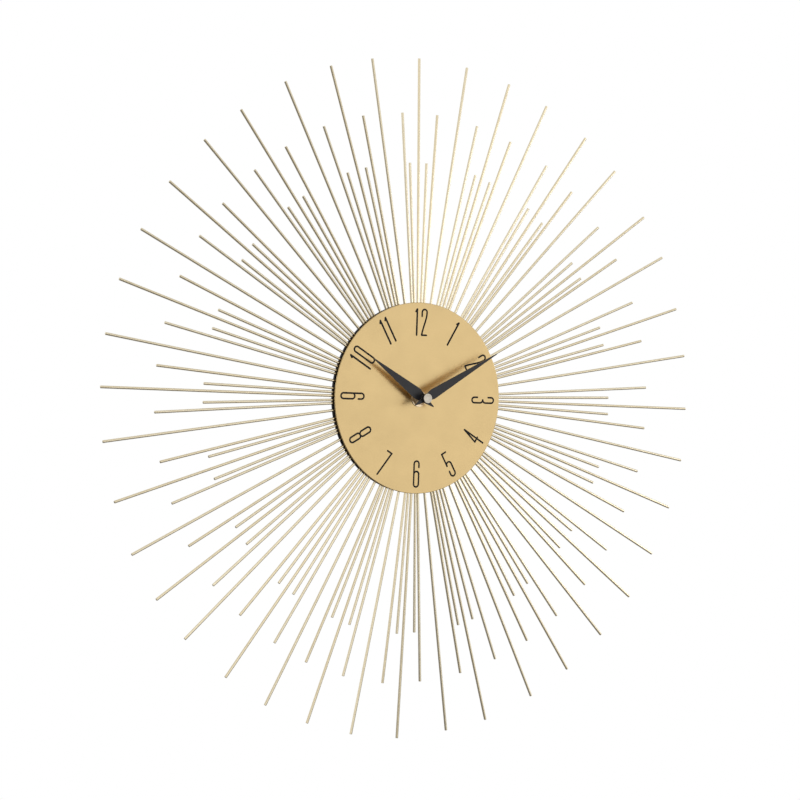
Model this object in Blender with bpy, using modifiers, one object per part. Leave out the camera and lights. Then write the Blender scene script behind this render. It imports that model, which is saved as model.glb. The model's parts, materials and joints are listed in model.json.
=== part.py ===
"""Sunburst wall clock: dial, welded ray clusters and a quartz movement, piece by piece.

Everything hangs on one empty, clock_frame, whose local axes are the easy ones for a clock:
x to the right, y up, and z out of the wall towards the viewer. z = 0 is the wall.
The empty is turned so that the dial faces -Y and 12 o'clock points to +Z in the world.
Angles of rays and hands are counted clockwise from 12 o'clock.
"""
import bpy
import bmesh
from math import cos, pi, radians, sin
from mathutils import Matrix, Vector
from random import Random

# --- Driving dimensions, in metres -------------------------------------------------------
OVERALL_DIAMETER = 0.610
LONG_RAY = OVERALL_DIAMETER / 2
MEDIUM_RAY = 0.840 * LONG_RAY
SHORT_RAY = 0.694 * LONG_RAY
DIAL_RADIUS = 0.0856
BACK_PLATE_RADIUS = 0.0850
RAY_RADIUS = 0.0012
GAP = 0.0003                      # between pieces that touch

# The rays: 20 clusters of short, medium and long rods, each with a lone long rod beside it
CLUSTERS = 20
PITCH = 360 / CLUSTERS
CLUSTER_PATTERN = ((-4.4, MEDIUM_RAY), (-2.4, SHORT_RAY), (0.0, LONG_RAY),
                   (2.4, SHORT_RAY), (4.4, MEDIUM_RAY), (9.0, LONG_RAY))
HAND_MADE_SEED = 24
TIP_WANDER = 0.55                 # degrees by which a tip strays from its nominal angle
LENGTH_WANDER = 0.006             # share of its length by which a rod is cut long or short
DRIFT = 1.4                       # degrees by which the clusters creep round as they are welded on
DRIFT_START = 75.0                # angle at which that creep passes through zero
RAY_ROOT = 0.068                  # radius where the rods start, on the back of their strip
STRIP_INNER = 0.066
STRIP_OUTER = 0.078
STRIP_START = -6.0                # the strip's ends, in degrees from the cluster's middle rod
STRIP_END = 11.2

# The stack, as heights from the wall
CASE_DEPTH = 0.0160
HANGER_THICKNESS = 0.0008
GASKET_THICKNESS = 0.0008
BACK_PLATE_THICKNESS = 0.0028
STRIP_THICKNESS = 0.0015
WELD_DEPTH = 0.0004               # how far a rod sinks into its strip
DIAL_THICKNESS = 0.0012
HANGER_Z = CASE_DEPTH + GAP
GASKET_Z = HANGER_Z + HANGER_THICKNESS + GAP
BACK_PLATE_Z = GASKET_Z + GASKET_THICKNESS + GAP
RAY_Z = BACK_PLATE_Z + BACK_PLATE_THICKNESS + GAP + RAY_RADIUS
STRIP_Z = RAY_Z + RAY_RADIUS - WELD_DEPTH
DIAL_Z = STRIP_Z + STRIP_THICKNESS + GAP
DIAL_FRONT = DIAL_Z + DIAL_THICKNESS

# Screws and standoffs that hold dial and back plate together
SCREW_CIRCLE = 0.048
SCREW_ANGLES = (45, 135, 225, 315)
SCREW_SHANK_RADIUS = 0.0015
SCREW_HOLE_RADIUS = 0.0018
SCREW_HEAD_RADIUS = 0.0030
SCREW_TOP_RADIUS = 0.0024
SCREW_HEAD_HEIGHT = 0.0019
SCREW_END = DIAL_Z - 0.0010
STANDOFF_RADIUS = 0.0040

# Centre hardware and hands
CENTRE_HOLE_RADIUS = 0.0042
BUSHING_RADIUS = 0.0040
BUSHING_BORE = 0.0027
BUSHING_START = CASE_DEPTH - 0.0010
BUSHING_END = DIAL_FRONT + 0.0050
WASHER_RADIUS = 0.0078
WASHER_THICKNESS = 0.0005
NUT_ACROSS_CORNERS = 0.0128
NUT_THICKNESS = 0.0023
HOUR_TUBE_RADIUS = 0.0026
HOUR_TUBE_BORE = 0.0016
MINUTE_ARBOR_RADIUS = 0.0015
GASKET_RADIUS = 0.0120
CLEARANCE = 0.00015               # radial, between a hand and the arbor it is pressed on
HAND_THICKNESS = 0.0006
HOUR_HAND_Z = DIAL_FRONT + 0.0070
HOUR_HAND_ANGLE = 303.0
HOUR_HAND_TIP = 0.0620
HOUR_HAND_TAIL = 0.0135
HOUR_HAND_HALF_WIDTH = 0.0054
HOUR_HAND_SHOULDER = 0.0075
MINUTE_HAND_Z = DIAL_FRONT + 0.0122
MINUTE_HAND_ANGLE = 60.0
MINUTE_HAND_TIP = 0.0850
MINUTE_HAND_TAIL = 0.0130
MINUTE_HAND_HALF_WIDTH = 0.0047
MINUTE_HAND_SHOULDER = 0.0080
COLLET_RADIUS = 0.0033
COLLET_HEIGHT = 0.0022
CAP_RADIUS = 0.0043
CAP_Z = MINUTE_HAND_Z + HAND_THICKNESS + GAP
CAP_HEIGHT = 0.0030
CAP_BORE_DEPTH = 0.0018
CAP_CHAMFER = 0.0003

# Movement case
CASE_SIZE = 0.0560
CASE_CORNER = 0.0030
WALL = 0.0012
PARTING_Z = 0.0060
FLOOR_Z = CASE_DEPTH - WALL       # inner face of the case front
INNER = CASE_SIZE / 2 - WALL
CHAMBER_BOTTOM = -0.0109          # the partition between gear chamber and battery bay
BAY_TOP = -0.0119

# Gear train: depth of each layer, from the dial side to the back
LAYER = 0.0010
HOUR_LAYER = 0.0135
MOTION_LAYER = 0.0121
CENTER_LAYER = 0.0106
THIRD_LAYER = 0.0090
SECOND_LAYER = 0.0074
FIFTH_LAYER = 0.0058
BRIDGE_Z = 0.0040
BRIDGE_THICKNESS = 0.0010
BRIDGE_LEFT = -0.0200
BRIDGE_RIGHT = 0.0220
BRIDGE_BOTTOM = -0.0090
BRIDGE_TOP = 0.0235
BRIDGE_POSTS = ((-0.0180, -0.0065), (0.0200, -0.0070), (0.0190, 0.0212))
BRIDGE_POST_RADIUS = 0.0012
PIVOT_RADIUS = 0.0005
PIVOT_HOLE = 0.0006
PIVOT_START = BRIDGE_Z + 0.0002
PIVOT_END = FLOOR_Z + 0.0006

WELD = 0.0002                     # how far a pinion or arbor sinks into its own wheel
OVERCUT = 0.0010                  # how far a hole's cutter runs past the wall it cuts
STEP_BACK = 0.0001                # how far an arbor's shoulder stands back from its gear's face
CENTER_BORE = 0.0011
CLUTCH_TAIL_RADIUS = 0.0010
PIVOT_REACH = 0.0008              # how far a pivot's hole goes into the piece that carries it
SECOND_ARBOR_END = THIRD_LAYER + LAYER + 0.0010
HOUR_TUBE_END = HOUR_HAND_Z + HAND_THICKNESS + 0.0007
MINUTE_ARBOR_END = CAP_Z + 0.0012

# Where one tooth of each free-standing gear points, in radians anticlockwise from +x
SECOND_PINION_PHASE = 0.0
SECOND_PHASE = 0.05
THIRD_PINION_PHASE = 0.1
FIFTH_PHASE = 0.02
CANNON_PHASE = 0.3
MOTION_PINION_PHASE = 0.2

# Tooth counts. Rotor to second wheel 30 : 1, second to center wheel 60 : 1, hands 12 : 1
PINION = 6
FIFTH_TEETH = 36
SECOND_TEETH = 30
THIRD_TEETH = 48
CENTER_TEETH = 45
CANNON_TEETH = 10
MOTION_TEETH = 30
MOTION_PINION = 8
HOUR_TEETH = 32
KNOB_TEETH = 10
ADDENDUM = 0.7                    # tooth height above and below the pitch circle, in modules
DEDENDUM = 1.0
ROOT_SHARE = 0.46                 # tooth width at root and tip, as a share of the pitch
TIP_SHARE = 0.18
THIRD_MODULE = 0.00042
CENTER_MODULE = THIRD_MODULE * (PINION + THIRD_TEETH) / (PINION + CENTER_TEETH)
SECOND_MODULE = 0.00062
FIFTH_MODULE = 0.00042
MOTION_MODULE = 0.00045

# Axes of the train, found by walking from the hands' axis at the given angles
def step(start, angle, module, teeth_a, teeth_b):
    """The axis of a gear that meshes with one at start, in the direction angle."""
    distance = module * (teeth_a + teeth_b) / 2
    return start + distance * Vector((cos(angle), sin(angle)))


CENTRE = Vector((0.0, 0.0))
TO_THIRD = radians(35)
TO_FIFTH = radians(150)
TO_ROTOR = radians(115)
TO_MOTION = radians(100)
TO_KNOB = radians(78)
THIRD_AXIS = step(CENTRE, TO_THIRD, THIRD_MODULE, PINION, THIRD_TEETH)
FIFTH_AXIS = step(CENTRE, TO_FIFTH, SECOND_MODULE, PINION, SECOND_TEETH)
ROTOR_AXIS = step(FIFTH_AXIS, TO_ROTOR, FIFTH_MODULE, PINION, FIFTH_TEETH)
MOTION_AXIS = step(CENTRE, TO_MOTION, MOTION_MODULE, CANNON_TEETH, MOTION_TEETH)
KNOB_AXIS = step(MOTION_AXIS, TO_KNOB, MOTION_MODULE, MOTION_TEETH, KNOB_TEETH)

# Motor, electronics and battery
ROTOR_RADIUS = 0.0030
ROTOR_Z = 0.0071
ROTOR_HEIGHT = 0.0020
STATOR_Z = 0.0076
STATOR_THICKNESS = 0.0010
STATOR_HOLE = 0.0035
STATOR_LEFT = -0.0245
STATOR_RIGHT = -0.0070
STATOR_BOTTOM = 0.0092
STATOR_WINDOW_BOTTOM = 0.0175
STATOR_TOP = 0.0227
STATOR_LEG = 0.0025
CORE_WIDTH = 0.0024
COIL_Y = STATOR_TOP - CORE_WIDTH / 2
COIL_Z = STATOR_Z + STATOR_THICKNESS / 2
BOBBIN_BORE = 0.00145
BOBBIN_CORE = 0.00175
BOBBIN_FLANGE = 0.0028
FLANGE_THICKNESS = 0.0006
BOBBIN_PLAY = 0.0004
WINDING_INNER = 0.0020
WINDING_OUTER = 0.0026
BOARD_Z = 0.0014
BOARD_THICKNESS = 0.0008
BOARD_LEFT = 0.0072
BOARD_RIGHT = 0.0262
BOARD_BOTTOM = 0.0030
BOARD_TOP = 0.0262
CHIP_RADIUS = 0.0028
CHIP_PLACE = (0.0130, 0.0100)
CHIP_HEIGHT = 0.0010
SOLDER_GAP = 0.0002
CRYSTAL_RADIUS = 0.00075
CRYSTAL_LENGTH = 0.0060
CRYSTAL_PLACE = (0.0165, 0.0190)
BATTERY_RADIUS = 0.0070
BATTERY_LENGTH = 0.0490
BATTERY_NUB_RADIUS = 0.0027
BATTERY_NUB_LENGTH = 0.0012
BATTERY_Y = (BAY_TOP - INNER) / 2
BATTERY_Z = 0.0075
BATTERY_LEFT = -0.0246
BATTERY_EDGE = 0.0006
CONTACT_THICKNESS = 0.0004
CONTACT_PLAY = 0.0002
PLUS_RADIUS = 0.0050
MINUS_RADIUS = 0.0055
SPRING_FOOT_RADIUS = 0.0045
SPRING_TOP_RADIUS = 0.0018
KNOB_RADIUS = 0.0055
KNOB_HEIGHT = 0.0028
KNOB_ARBOR_RADIUS = 0.0010
KNOB_ARBOR_HOLE = 0.0011
KNOB_BACK = 0.0003
KNOB_OPENING = 0.0058

# Hanger plate
HANGER_HALF_WIDTH = 0.016
HANGER_BOTTOM = -0.014
HANGER_SHOULDER = 0.032           # where the round top starts
HANGER_SLOT_HALF_WIDTH = 0.008
HANGER_SLOT_LOW = 0.0330
HANGER_SLOT_HIGH = 0.0375
HANGER_NOTCH_RADIUS = 0.0018


# --- Scene ---------------------------------------------------------------------------------
for old in list(bpy.data.objects):
    bpy.data.objects.remove(old)
clock = bpy.data.collections.new("sunburst_wall_clock")
cutters = bpy.data.collections.new("cutters")
bpy.context.scene.collection.children.link(clock)
bpy.context.scene.collection.children.link(cutters)
clock_frame = bpy.data.objects.new("clock_frame", None)
clock_frame.rotation_euler = (pi / 2, 0, 0)
clock.objects.link(clock_frame)


def material(name, colour, metallic, roughness):
    """A Principled material."""
    made = bpy.data.materials.new(name)
    made.use_nodes = True
    shader = made.node_tree.nodes["Principled BSDF"]
    shader.inputs["Base Color"].default_value = (*colour, 1)
    shader.inputs["Metallic"].default_value = metallic
    shader.inputs["Roughness"].default_value = roughness
    return made


CHAMPAGNE = material("champagne_gold", (0.72, 0.53, 0.27), 1.0, 0.32)
RAY_GOLD = material("ray_gold", (0.78, 0.66, 0.44), 1.0, 0.22)
BLACK_PAINT = material("black_paint", (0.02, 0.02, 0.02), 0.0, 0.5)
HAND_PAINT = material("hand_paint", (0.035, 0.035, 0.04), 0.3, 0.4)
SILVER = material("silver", (0.80, 0.77, 0.71), 1.0, 0.3)
BRASS = material("brass", (0.72, 0.60, 0.40), 1.0, 0.3)
STEEL = material("zinc_steel", (0.62, 0.62, 0.60), 1.0, 0.35)
RUBBER = material("rubber", (0.02, 0.02, 0.02), 0.0, 0.8)
CASE_PLASTIC = material("case_plastic", (0.03, 0.03, 0.03), 0.0, 0.55)
GEAR_PLASTIC = material("gear_plastic", (0.80, 0.79, 0.74), 0.0, 0.4)
MAGNET = material("magnet", (0.12, 0.12, 0.13), 0.8, 0.4)
COPPER = material("copper_wire", (0.60, 0.25, 0.12), 1.0, 0.35)
BOARD_GREEN = material("board_green", (0.03, 0.16, 0.07), 0.0, 0.45)
EPOXY = material("epoxy", (0.01, 0.01, 0.01), 0.0, 0.35)
CELL_SLEEVE = material("cell_sleeve", (0.10, 0.13, 0.20), 0.2, 0.35)


# --- Outlines, as lists of (x, y) -------------------------------------------------------------
def clockwise(angle, radius):
    """The point at an angle in degrees clockwise from 12 o'clock."""
    return Vector((radius * sin(radians(angle)), radius * cos(radians(angle))))


def circle(radius, centre=CENTRE, points=32):
    turns = (2 * pi * i / points for i in range(points))
    return [(centre.x + radius * cos(t), centre.y + radius * sin(t)) for t in turns]


def box_outline(left, right, bottom, top):
    return [(left, bottom), (right, bottom), (right, top), (left, top)]


def rounded_square(half, corner, points=5):
    outline = []
    for quarter, (sx, sy) in enumerate(((1, 1), (-1, 1), (-1, -1), (1, -1))):
        middle = Vector((sx * (half - corner), sy * (half - corner)))
        for i in range(points):
            turn = pi / 2 * (quarter + i / (points - 1))
            outline.append((middle.x + corner * cos(turn), middle.y + corner * sin(turn)))
    return outline


def sector(inner, outer, start, end, points=6):
    angles = [start + (end - start) * i / (points - 1) for i in range(points)]
    there = [tuple(clockwise(a, outer)) for a in angles]
    back = [tuple(clockwise(a, inner)) for a in reversed(angles)]
    return there + back


def kite(tip, tail, half_width, shoulder, angle):
    """A kite-shaped blade that points at an angle clockwise from 12 o'clock."""
    along = clockwise(angle, 1)
    across = Vector((along.y, -along.x))
    corners = ((tip, 0), (shoulder, half_width), (-tail, 0), (shoulder, -half_width))
    return [tuple(along * a + across * b) for a, b in corners]


def gear_outline(teeth, module, phase, centre):
    """Straight-sided teeth; phase is the direction of one tooth, anticlockwise from +x."""
    pitch_radius = module * teeth / 2
    tip = pitch_radius + ADDENDUM * module
    root = pitch_radius - DEDENDUM * module
    tooth = ((root, -ROOT_SHARE / 2), (tip, -TIP_SHARE / 2), (tip, TIP_SHARE / 2), (root, ROOT_SHARE / 2))
    points = []
    for i in range(teeth):
        for radius, offset in tooth:
            turn = phase + (i + offset) * 2 * pi / teeth
            points.append((centre.x + radius * cos(turn), centre.y + radius * sin(turn)))
    return points


def meshing_phase(direction, teeth_a, phase_a, teeth_b):
    """The phase that puts a tooth of gear A, which lies towards B, in a gap of gear B."""
    tooth_fraction = (direction - phase_a) / (2 * pi / teeth_a)
    return direction + pi - 2 * pi / teeth_b * (0.5 - tooth_fraction)


# --- Solids -----------------------------------------------------------------------------------
def finish(piece, paint, group=clock):
    """Put a new object in its collection, on the clock's frame."""
    for holder in list(piece.users_collection):
        holder.objects.unlink(piece)
    group.objects.link(piece)
    piece.parent = clock_frame
    if paint:
        piece.data.materials.append(paint)
    if group is cutters:
        piece.hide_render = True
        piece.display_type = "WIRE"
    return piece


def plate(name, outlines, low, high, paint=None, group=clock):
    """A flat piece between two heights: the first outline, less the others."""
    curve = bpy.data.curves.new(name, "CURVE")
    curve.dimensions = "2D"
    curve.fill_mode = "BOTH"
    curve.extrude = (high - low) / 2
    for outline in outlines:
        spline = curve.splines.new("POLY")
        spline.points.add(len(outline) - 1)
        for point, (x, y) in zip(spline.points, outline):
            point.co = (x, y, 0, 1)
        spline.use_cyclic_u = True
    drawn = bpy.data.objects.new(name + "_outline", curve)
    bpy.context.scene.collection.objects.link(drawn)
    mesh = bpy.data.meshes.new_from_object(drawn.evaluated_get(bpy.context.evaluated_depsgraph_get()))
    bpy.data.objects.remove(drawn)
    shape = bmesh.new()
    shape.from_mesh(mesh)
    bmesh.ops.remove_doubles(shape, verts=shape.verts, dist=1e-6)
    bmesh.ops.translate(shape, verts=shape.verts, vec=(0, 0, (low + high) / 2))
    shape.to_mesh(mesh)
    shape.free()
    mesh.name = name
    return finish(bpy.data.objects.new(name, mesh), paint, group)


def turned(name, profile, paint=None, centre=CENTRE, steps=24, group=clock):
    """A turned piece on an axis along z. The profile is (radius, height), outer side first, top to bottom."""
    mesh = bpy.data.meshes.new(name)
    closed = profile[0][0] > 0
    edges = [(i, i + 1) for i in range(len(profile) - 1)]
    if closed:
        edges.append((len(profile) - 1, 0))
    mesh.from_pydata([(radius, 0, height) for radius, height in profile], edges, [])
    piece = bpy.data.objects.new(name, mesh)
    piece.location = (centre.x, centre.y, 0)
    screw = piece.modifiers.new("turn", "SCREW")
    screw.steps = steps
    screw.render_steps = steps
    screw.use_merge_vertices = True
    screw.merge_threshold = 1e-6
    screw.use_smooth_shade = False
    return finish(piece, paint, group)


def rod(name, radius, low, high, centre=CENTRE, paint=None, steps=16, group=cutters):
    """A plain solid cylinder along z."""
    profile = ((0, high), (radius, high), (radius, low), (0, low))
    return turned(name, profile, paint, centre, steps, group)


def boolean(piece, other, operation):
    change = piece.modifiers.new(operation.lower(), "BOOLEAN")
    change.operation = operation
    change.solver = "EXACT"
    change.object = other


def bored(piece, name, radius, low, high, centre=CENTRE, steps=16):
    boolean(piece, rod(name, radius, low, high, centre, steps=steps), "DIFFERENCE")


# --- Dial, back plate and what joins them -------------------------------------------------------
def build_dial():
    plate("dial_plate", [circle(DIAL_RADIUS, points=96), circle(CENTRE_HOLE_RADIUS)],
          DIAL_Z, DIAL_FRONT, CHAMPAGNE)
    holes = [circle(SCREW_HOLE_RADIUS, clockwise(angle, SCREW_CIRCLE), 12) for angle in SCREW_ANGLES]
    plate("back_plate", [circle(BACK_PLATE_RADIUS, points=96), circle(CENTRE_HOLE_RADIUS), *holes],
          BACK_PLATE_Z, BACK_PLATE_Z + BACK_PLATE_THICKNESS, BLACK_PAINT)


def build_screws():
    head_front = BACK_PLATE_Z - GAP
    head_back = head_front - SCREW_HEAD_HEIGHT
    standoff_back = BACK_PLATE_Z + BACK_PLATE_THICKNESS + GAP
    standoff_front = DIAL_Z - GAP
    for number, angle in enumerate(SCREW_ANGLES, 1):
        place = clockwise(angle, SCREW_CIRCLE)
        turned(f"plate_screw_{number}",
               ((0, SCREW_END), (SCREW_SHANK_RADIUS, SCREW_END), (SCREW_SHANK_RADIUS, head_front),
                (SCREW_HEAD_RADIUS, head_front), (SCREW_TOP_RADIUS, head_back), (0, head_back)),
               STEEL, place, steps=12)
        turned(f"dial_standoff_{number}",
               ((STANDOFF_RADIUS, standoff_front), (STANDOFF_RADIUS, standoff_back),
                (SCREW_HOLE_RADIUS, standoff_back), (SCREW_HOLE_RADIUS, standoff_front)),
               STEEL, place, steps=12)


# --- Rays ---------------------------------------------------------------------------------------
def rod_from_to(shape, start, end, radius):
    """Add a straight round rod to a bmesh."""
    axis = end - start
    turn = axis.to_track_quat("Z", "Y").to_matrix().to_4x4()
    place = Matrix.Translation((start + end) / 2) @ turn
    bmesh.ops.create_cone(shape, cap_ends=True, segments=8, radius1=radius, radius2=radius,
                          depth=axis.length, matrix=place)


def build_ray_cluster(number, chance):
    """Six rods, welded behind one short curved strip."""
    middle = PITCH * (number - 1)
    middle += DRIFT * sin(radians(middle - DRIFT_START))
    name = f"ray_cluster_{number:02d}"
    outline = sector(STRIP_INNER, STRIP_OUTER, middle + STRIP_START, middle + STRIP_END)
    strip = plate(name, [outline], STRIP_Z, STRIP_Z + STRIP_THICKNESS, RAY_GOLD)
    shape = bmesh.new()
    for offset, length in CLUSTER_PATTERN:
        root = clockwise(middle + offset, RAY_ROOT)
        angle = middle + offset + chance.uniform(-TIP_WANDER, TIP_WANDER)
        tip = clockwise(angle, length * (1 - chance.uniform(0, LENGTH_WANDER)))
        rod_from_to(shape, Vector((*root, RAY_Z)), Vector((*tip, RAY_Z)), RAY_RADIUS)
    rods = bpy.data.meshes.new(name + "_rods")
    shape.to_mesh(rods)
    shape.free()
    boolean(strip, finish(bpy.data.objects.new(name + "_rods", rods), RAY_GOLD, cutters), "UNION")


def build_rays():
    chance = Random(HAND_MADE_SEED)
    for number in range(1, CLUSTERS + 1):
        build_ray_cluster(number, chance)


# --- Centre hardware and hands --------------------------------------------------------------------
def build_centre_hardware():
    turned("threaded_bushing",
           ((BUSHING_RADIUS, BUSHING_END), (BUSHING_RADIUS, BUSHING_START),
            (BUSHING_BORE, BUSHING_START), (BUSHING_BORE, BUSHING_END)), BRASS)
    washer_low = DIAL_FRONT + GAP
    nut_low = washer_low + WASHER_THICKNESS + GAP
    plate("bushing_washer", [circle(WASHER_RADIUS), circle(CENTRE_HOLE_RADIUS)],
          washer_low, washer_low + WASHER_THICKNESS, BRASS)
    plate("bushing_nut", [circle(NUT_ACROSS_CORNERS / 2, points=6), circle(CENTRE_HOLE_RADIUS)],
          nut_low, nut_low + NUT_THICKNESS, BRASS)
    plate("rubber_gasket", [circle(GASKET_RADIUS), circle(CENTRE_HOLE_RADIUS)],
          GASKET_Z, GASKET_Z + GASKET_THICKNESS, RUBBER)


def build_hanger():
    top = [(HANGER_HALF_WIDTH * cos(t), HANGER_SHOULDER + HANGER_HALF_WIDTH * sin(t))
           for t in (pi * i / 12 for i in range(13))]
    outline = [(-HANGER_HALF_WIDTH, HANGER_BOTTOM), (HANGER_HALF_WIDTH, HANGER_BOTTOM)] + top
    notch = [(HANGER_NOTCH_RADIUS * cos(t), HANGER_SLOT_HIGH + HANGER_NOTCH_RADIUS * sin(t))
             for t in (pi * i / 6 for i in range(7))]
    slot = [(-HANGER_SLOT_HALF_WIDTH, HANGER_SLOT_LOW), (HANGER_SLOT_HALF_WIDTH, HANGER_SLOT_LOW),
            (HANGER_SLOT_HALF_WIDTH, HANGER_SLOT_HIGH), *notch, (-HANGER_SLOT_HALF_WIDTH, HANGER_SLOT_HIGH)]
    plate("hanger_plate", [outline, circle(CENTRE_HOLE_RADIUS), slot],
          HANGER_Z, HANGER_Z + HANGER_THICKNESS, STEEL)


def build_hands():
    plate("hour_hand",
          [kite(HOUR_HAND_TIP, HOUR_HAND_TAIL, HOUR_HAND_HALF_WIDTH, HOUR_HAND_SHOULDER, HOUR_HAND_ANGLE),
           circle(HOUR_TUBE_RADIUS + CLEARANCE, points=16)],
          HOUR_HAND_Z, HOUR_HAND_Z + HAND_THICKNESS, HAND_PAINT)
    minute = plate("minute_hand",
                   [kite(MINUTE_HAND_TIP, MINUTE_HAND_TAIL, MINUTE_HAND_HALF_WIDTH,
                         MINUTE_HAND_SHOULDER, MINUTE_HAND_ANGLE),
                    circle(MINUTE_ARBOR_RADIUS + CLEARANCE, points=16)],
                   MINUTE_HAND_Z, MINUTE_HAND_Z + HAND_THICKNESS, HAND_PAINT)
    bottom = MINUTE_HAND_Z - COLLET_HEIGHT
    top = MINUTE_HAND_Z + HAND_THICKNESS / 2
    bore = MINUTE_ARBOR_RADIUS + CLEARANCE
    collet = turned("minute_collet",
                    ((COLLET_RADIUS, top), (COLLET_RADIUS, bottom), (bore, bottom), (bore, top)),
                    HAND_PAINT, steps=16, group=cutters)
    boolean(minute, collet, "UNION")
    cap_top = CAP_Z + CAP_HEIGHT
    turned("cap_nut",
           ((0, cap_top), (CAP_RADIUS - CAP_CHAMFER, cap_top), (CAP_RADIUS, cap_top - CAP_CHAMFER),
            (CAP_RADIUS, CAP_Z),
            (bore, CAP_Z), (bore, CAP_Z + CAP_BORE_DEPTH), (0, CAP_Z + CAP_BORE_DEPTH)), SILVER)


# --- Movement: case ---------------------------------------------------------------------------------
def build_case():
    outer = rounded_square(CASE_SIZE / 2, CASE_CORNER)
    chamber = box_outline(-INNER, INNER, CHAMBER_BOTTOM, INNER)
    bay = box_outline(-INNER, INNER, -INNER, BAY_TOP)
    front = plate("movement_case_front", [outer], PARTING_Z + GAP / 2, CASE_DEPTH, CASE_PLASTIC)
    boolean(front, plate("front_chamber", [chamber], 0, FLOOR_Z, group=cutters), "DIFFERENCE")
    boolean(front, plate("front_bay", [bay], 0, FLOOR_Z, group=cutters), "DIFFERENCE")
    bored(front, "bushing_hole", CENTRE_HOLE_RADIUS, FLOOR_Z - OVERCUT, CASE_DEPTH + OVERCUT)
    pivots = {"third": THIRD_AXIS, "fifth": FIFTH_AXIS, "rotor": ROTOR_AXIS, "motion": MOTION_AXIS}
    for name, axis in pivots.items():
        bored(front, f"{name}_front_hole", PIVOT_HOLE, FLOOR_Z - OVERCUT, FLOOR_Z + PIVOT_REACH,
              axis, steps=12)
    back = plate("movement_case_back", [outer], 0, PARTING_Z - GAP / 2, CASE_PLASTIC)
    boolean(back, plate("back_chamber", [chamber], WALL, CASE_DEPTH, group=cutters), "DIFFERENCE")
    boolean(back, plate("back_bay", [bay], -WALL, CASE_DEPTH, group=cutters), "DIFFERENCE")
    bored(back, "knob_opening", KNOB_OPENING, -WALL, 2 * WALL, KNOB_AXIS, steps=24)


def build_bridge():
    """The plate behind the gears, with three posts that stand it off the case front."""
    outline = box_outline(BRIDGE_LEFT, BRIDGE_RIGHT, BRIDGE_BOTTOM, BRIDGE_TOP)
    bridge = plate("train_bridge", [outline], BRIDGE_Z, BRIDGE_Z + BRIDGE_THICKNESS, GEAR_PLASTIC)
    for number, place in enumerate(BRIDGE_POSTS, 1):
        post = rod(f"bridge_post_{number}", BRIDGE_POST_RADIUS, BRIDGE_Z + BRIDGE_THICKNESS / 2,
                   FLOOR_Z - GAP, Vector(place), steps=10)
        boolean(bridge, post, "UNION")
    holes = {"second": (CENTRE, PIVOT_HOLE), "third": (THIRD_AXIS, PIVOT_HOLE),
             "fifth": (FIFTH_AXIS, PIVOT_HOLE), "rotor": (ROTOR_AXIS, PIVOT_HOLE),
             "knob": (KNOB_AXIS, KNOB_ARBOR_HOLE)}
    for name, (axis, radius) in holes.items():
        bored(bridge, f"{name}_bridge_hole", radius,
              BRIDGE_Z - OVERCUT, BRIDGE_Z + BRIDGE_THICKNESS + OVERCUT, axis, steps=12)


# --- Movement: wheels ----------------------------------------------------------------------------------
def wheel(name, teeth, module, phase, axis, low, paint=GEAR_PLASTIC, thickness=LAYER):
    """A gear whose object origin lies on its own axis."""
    made = plate(name, [gear_outline(teeth, module, phase, CENTRE)], low, low + thickness, paint)
    made.location = (axis.x, axis.y, 0)
    return made


def add_gear(piece, name, teeth, module, phase, axis, low, high):
    gear = plate(name, [gear_outline(teeth, module, phase, CENTRE)], low, high, group=cutters)
    gear.location = (axis.x, axis.y, 0)
    boolean(piece, gear, "UNION")


def add_arbor(piece, name, radius, low, high, axis):
    boolean(piece, rod(name, radius, low, high, axis, steps=10), "UNION")


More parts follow.
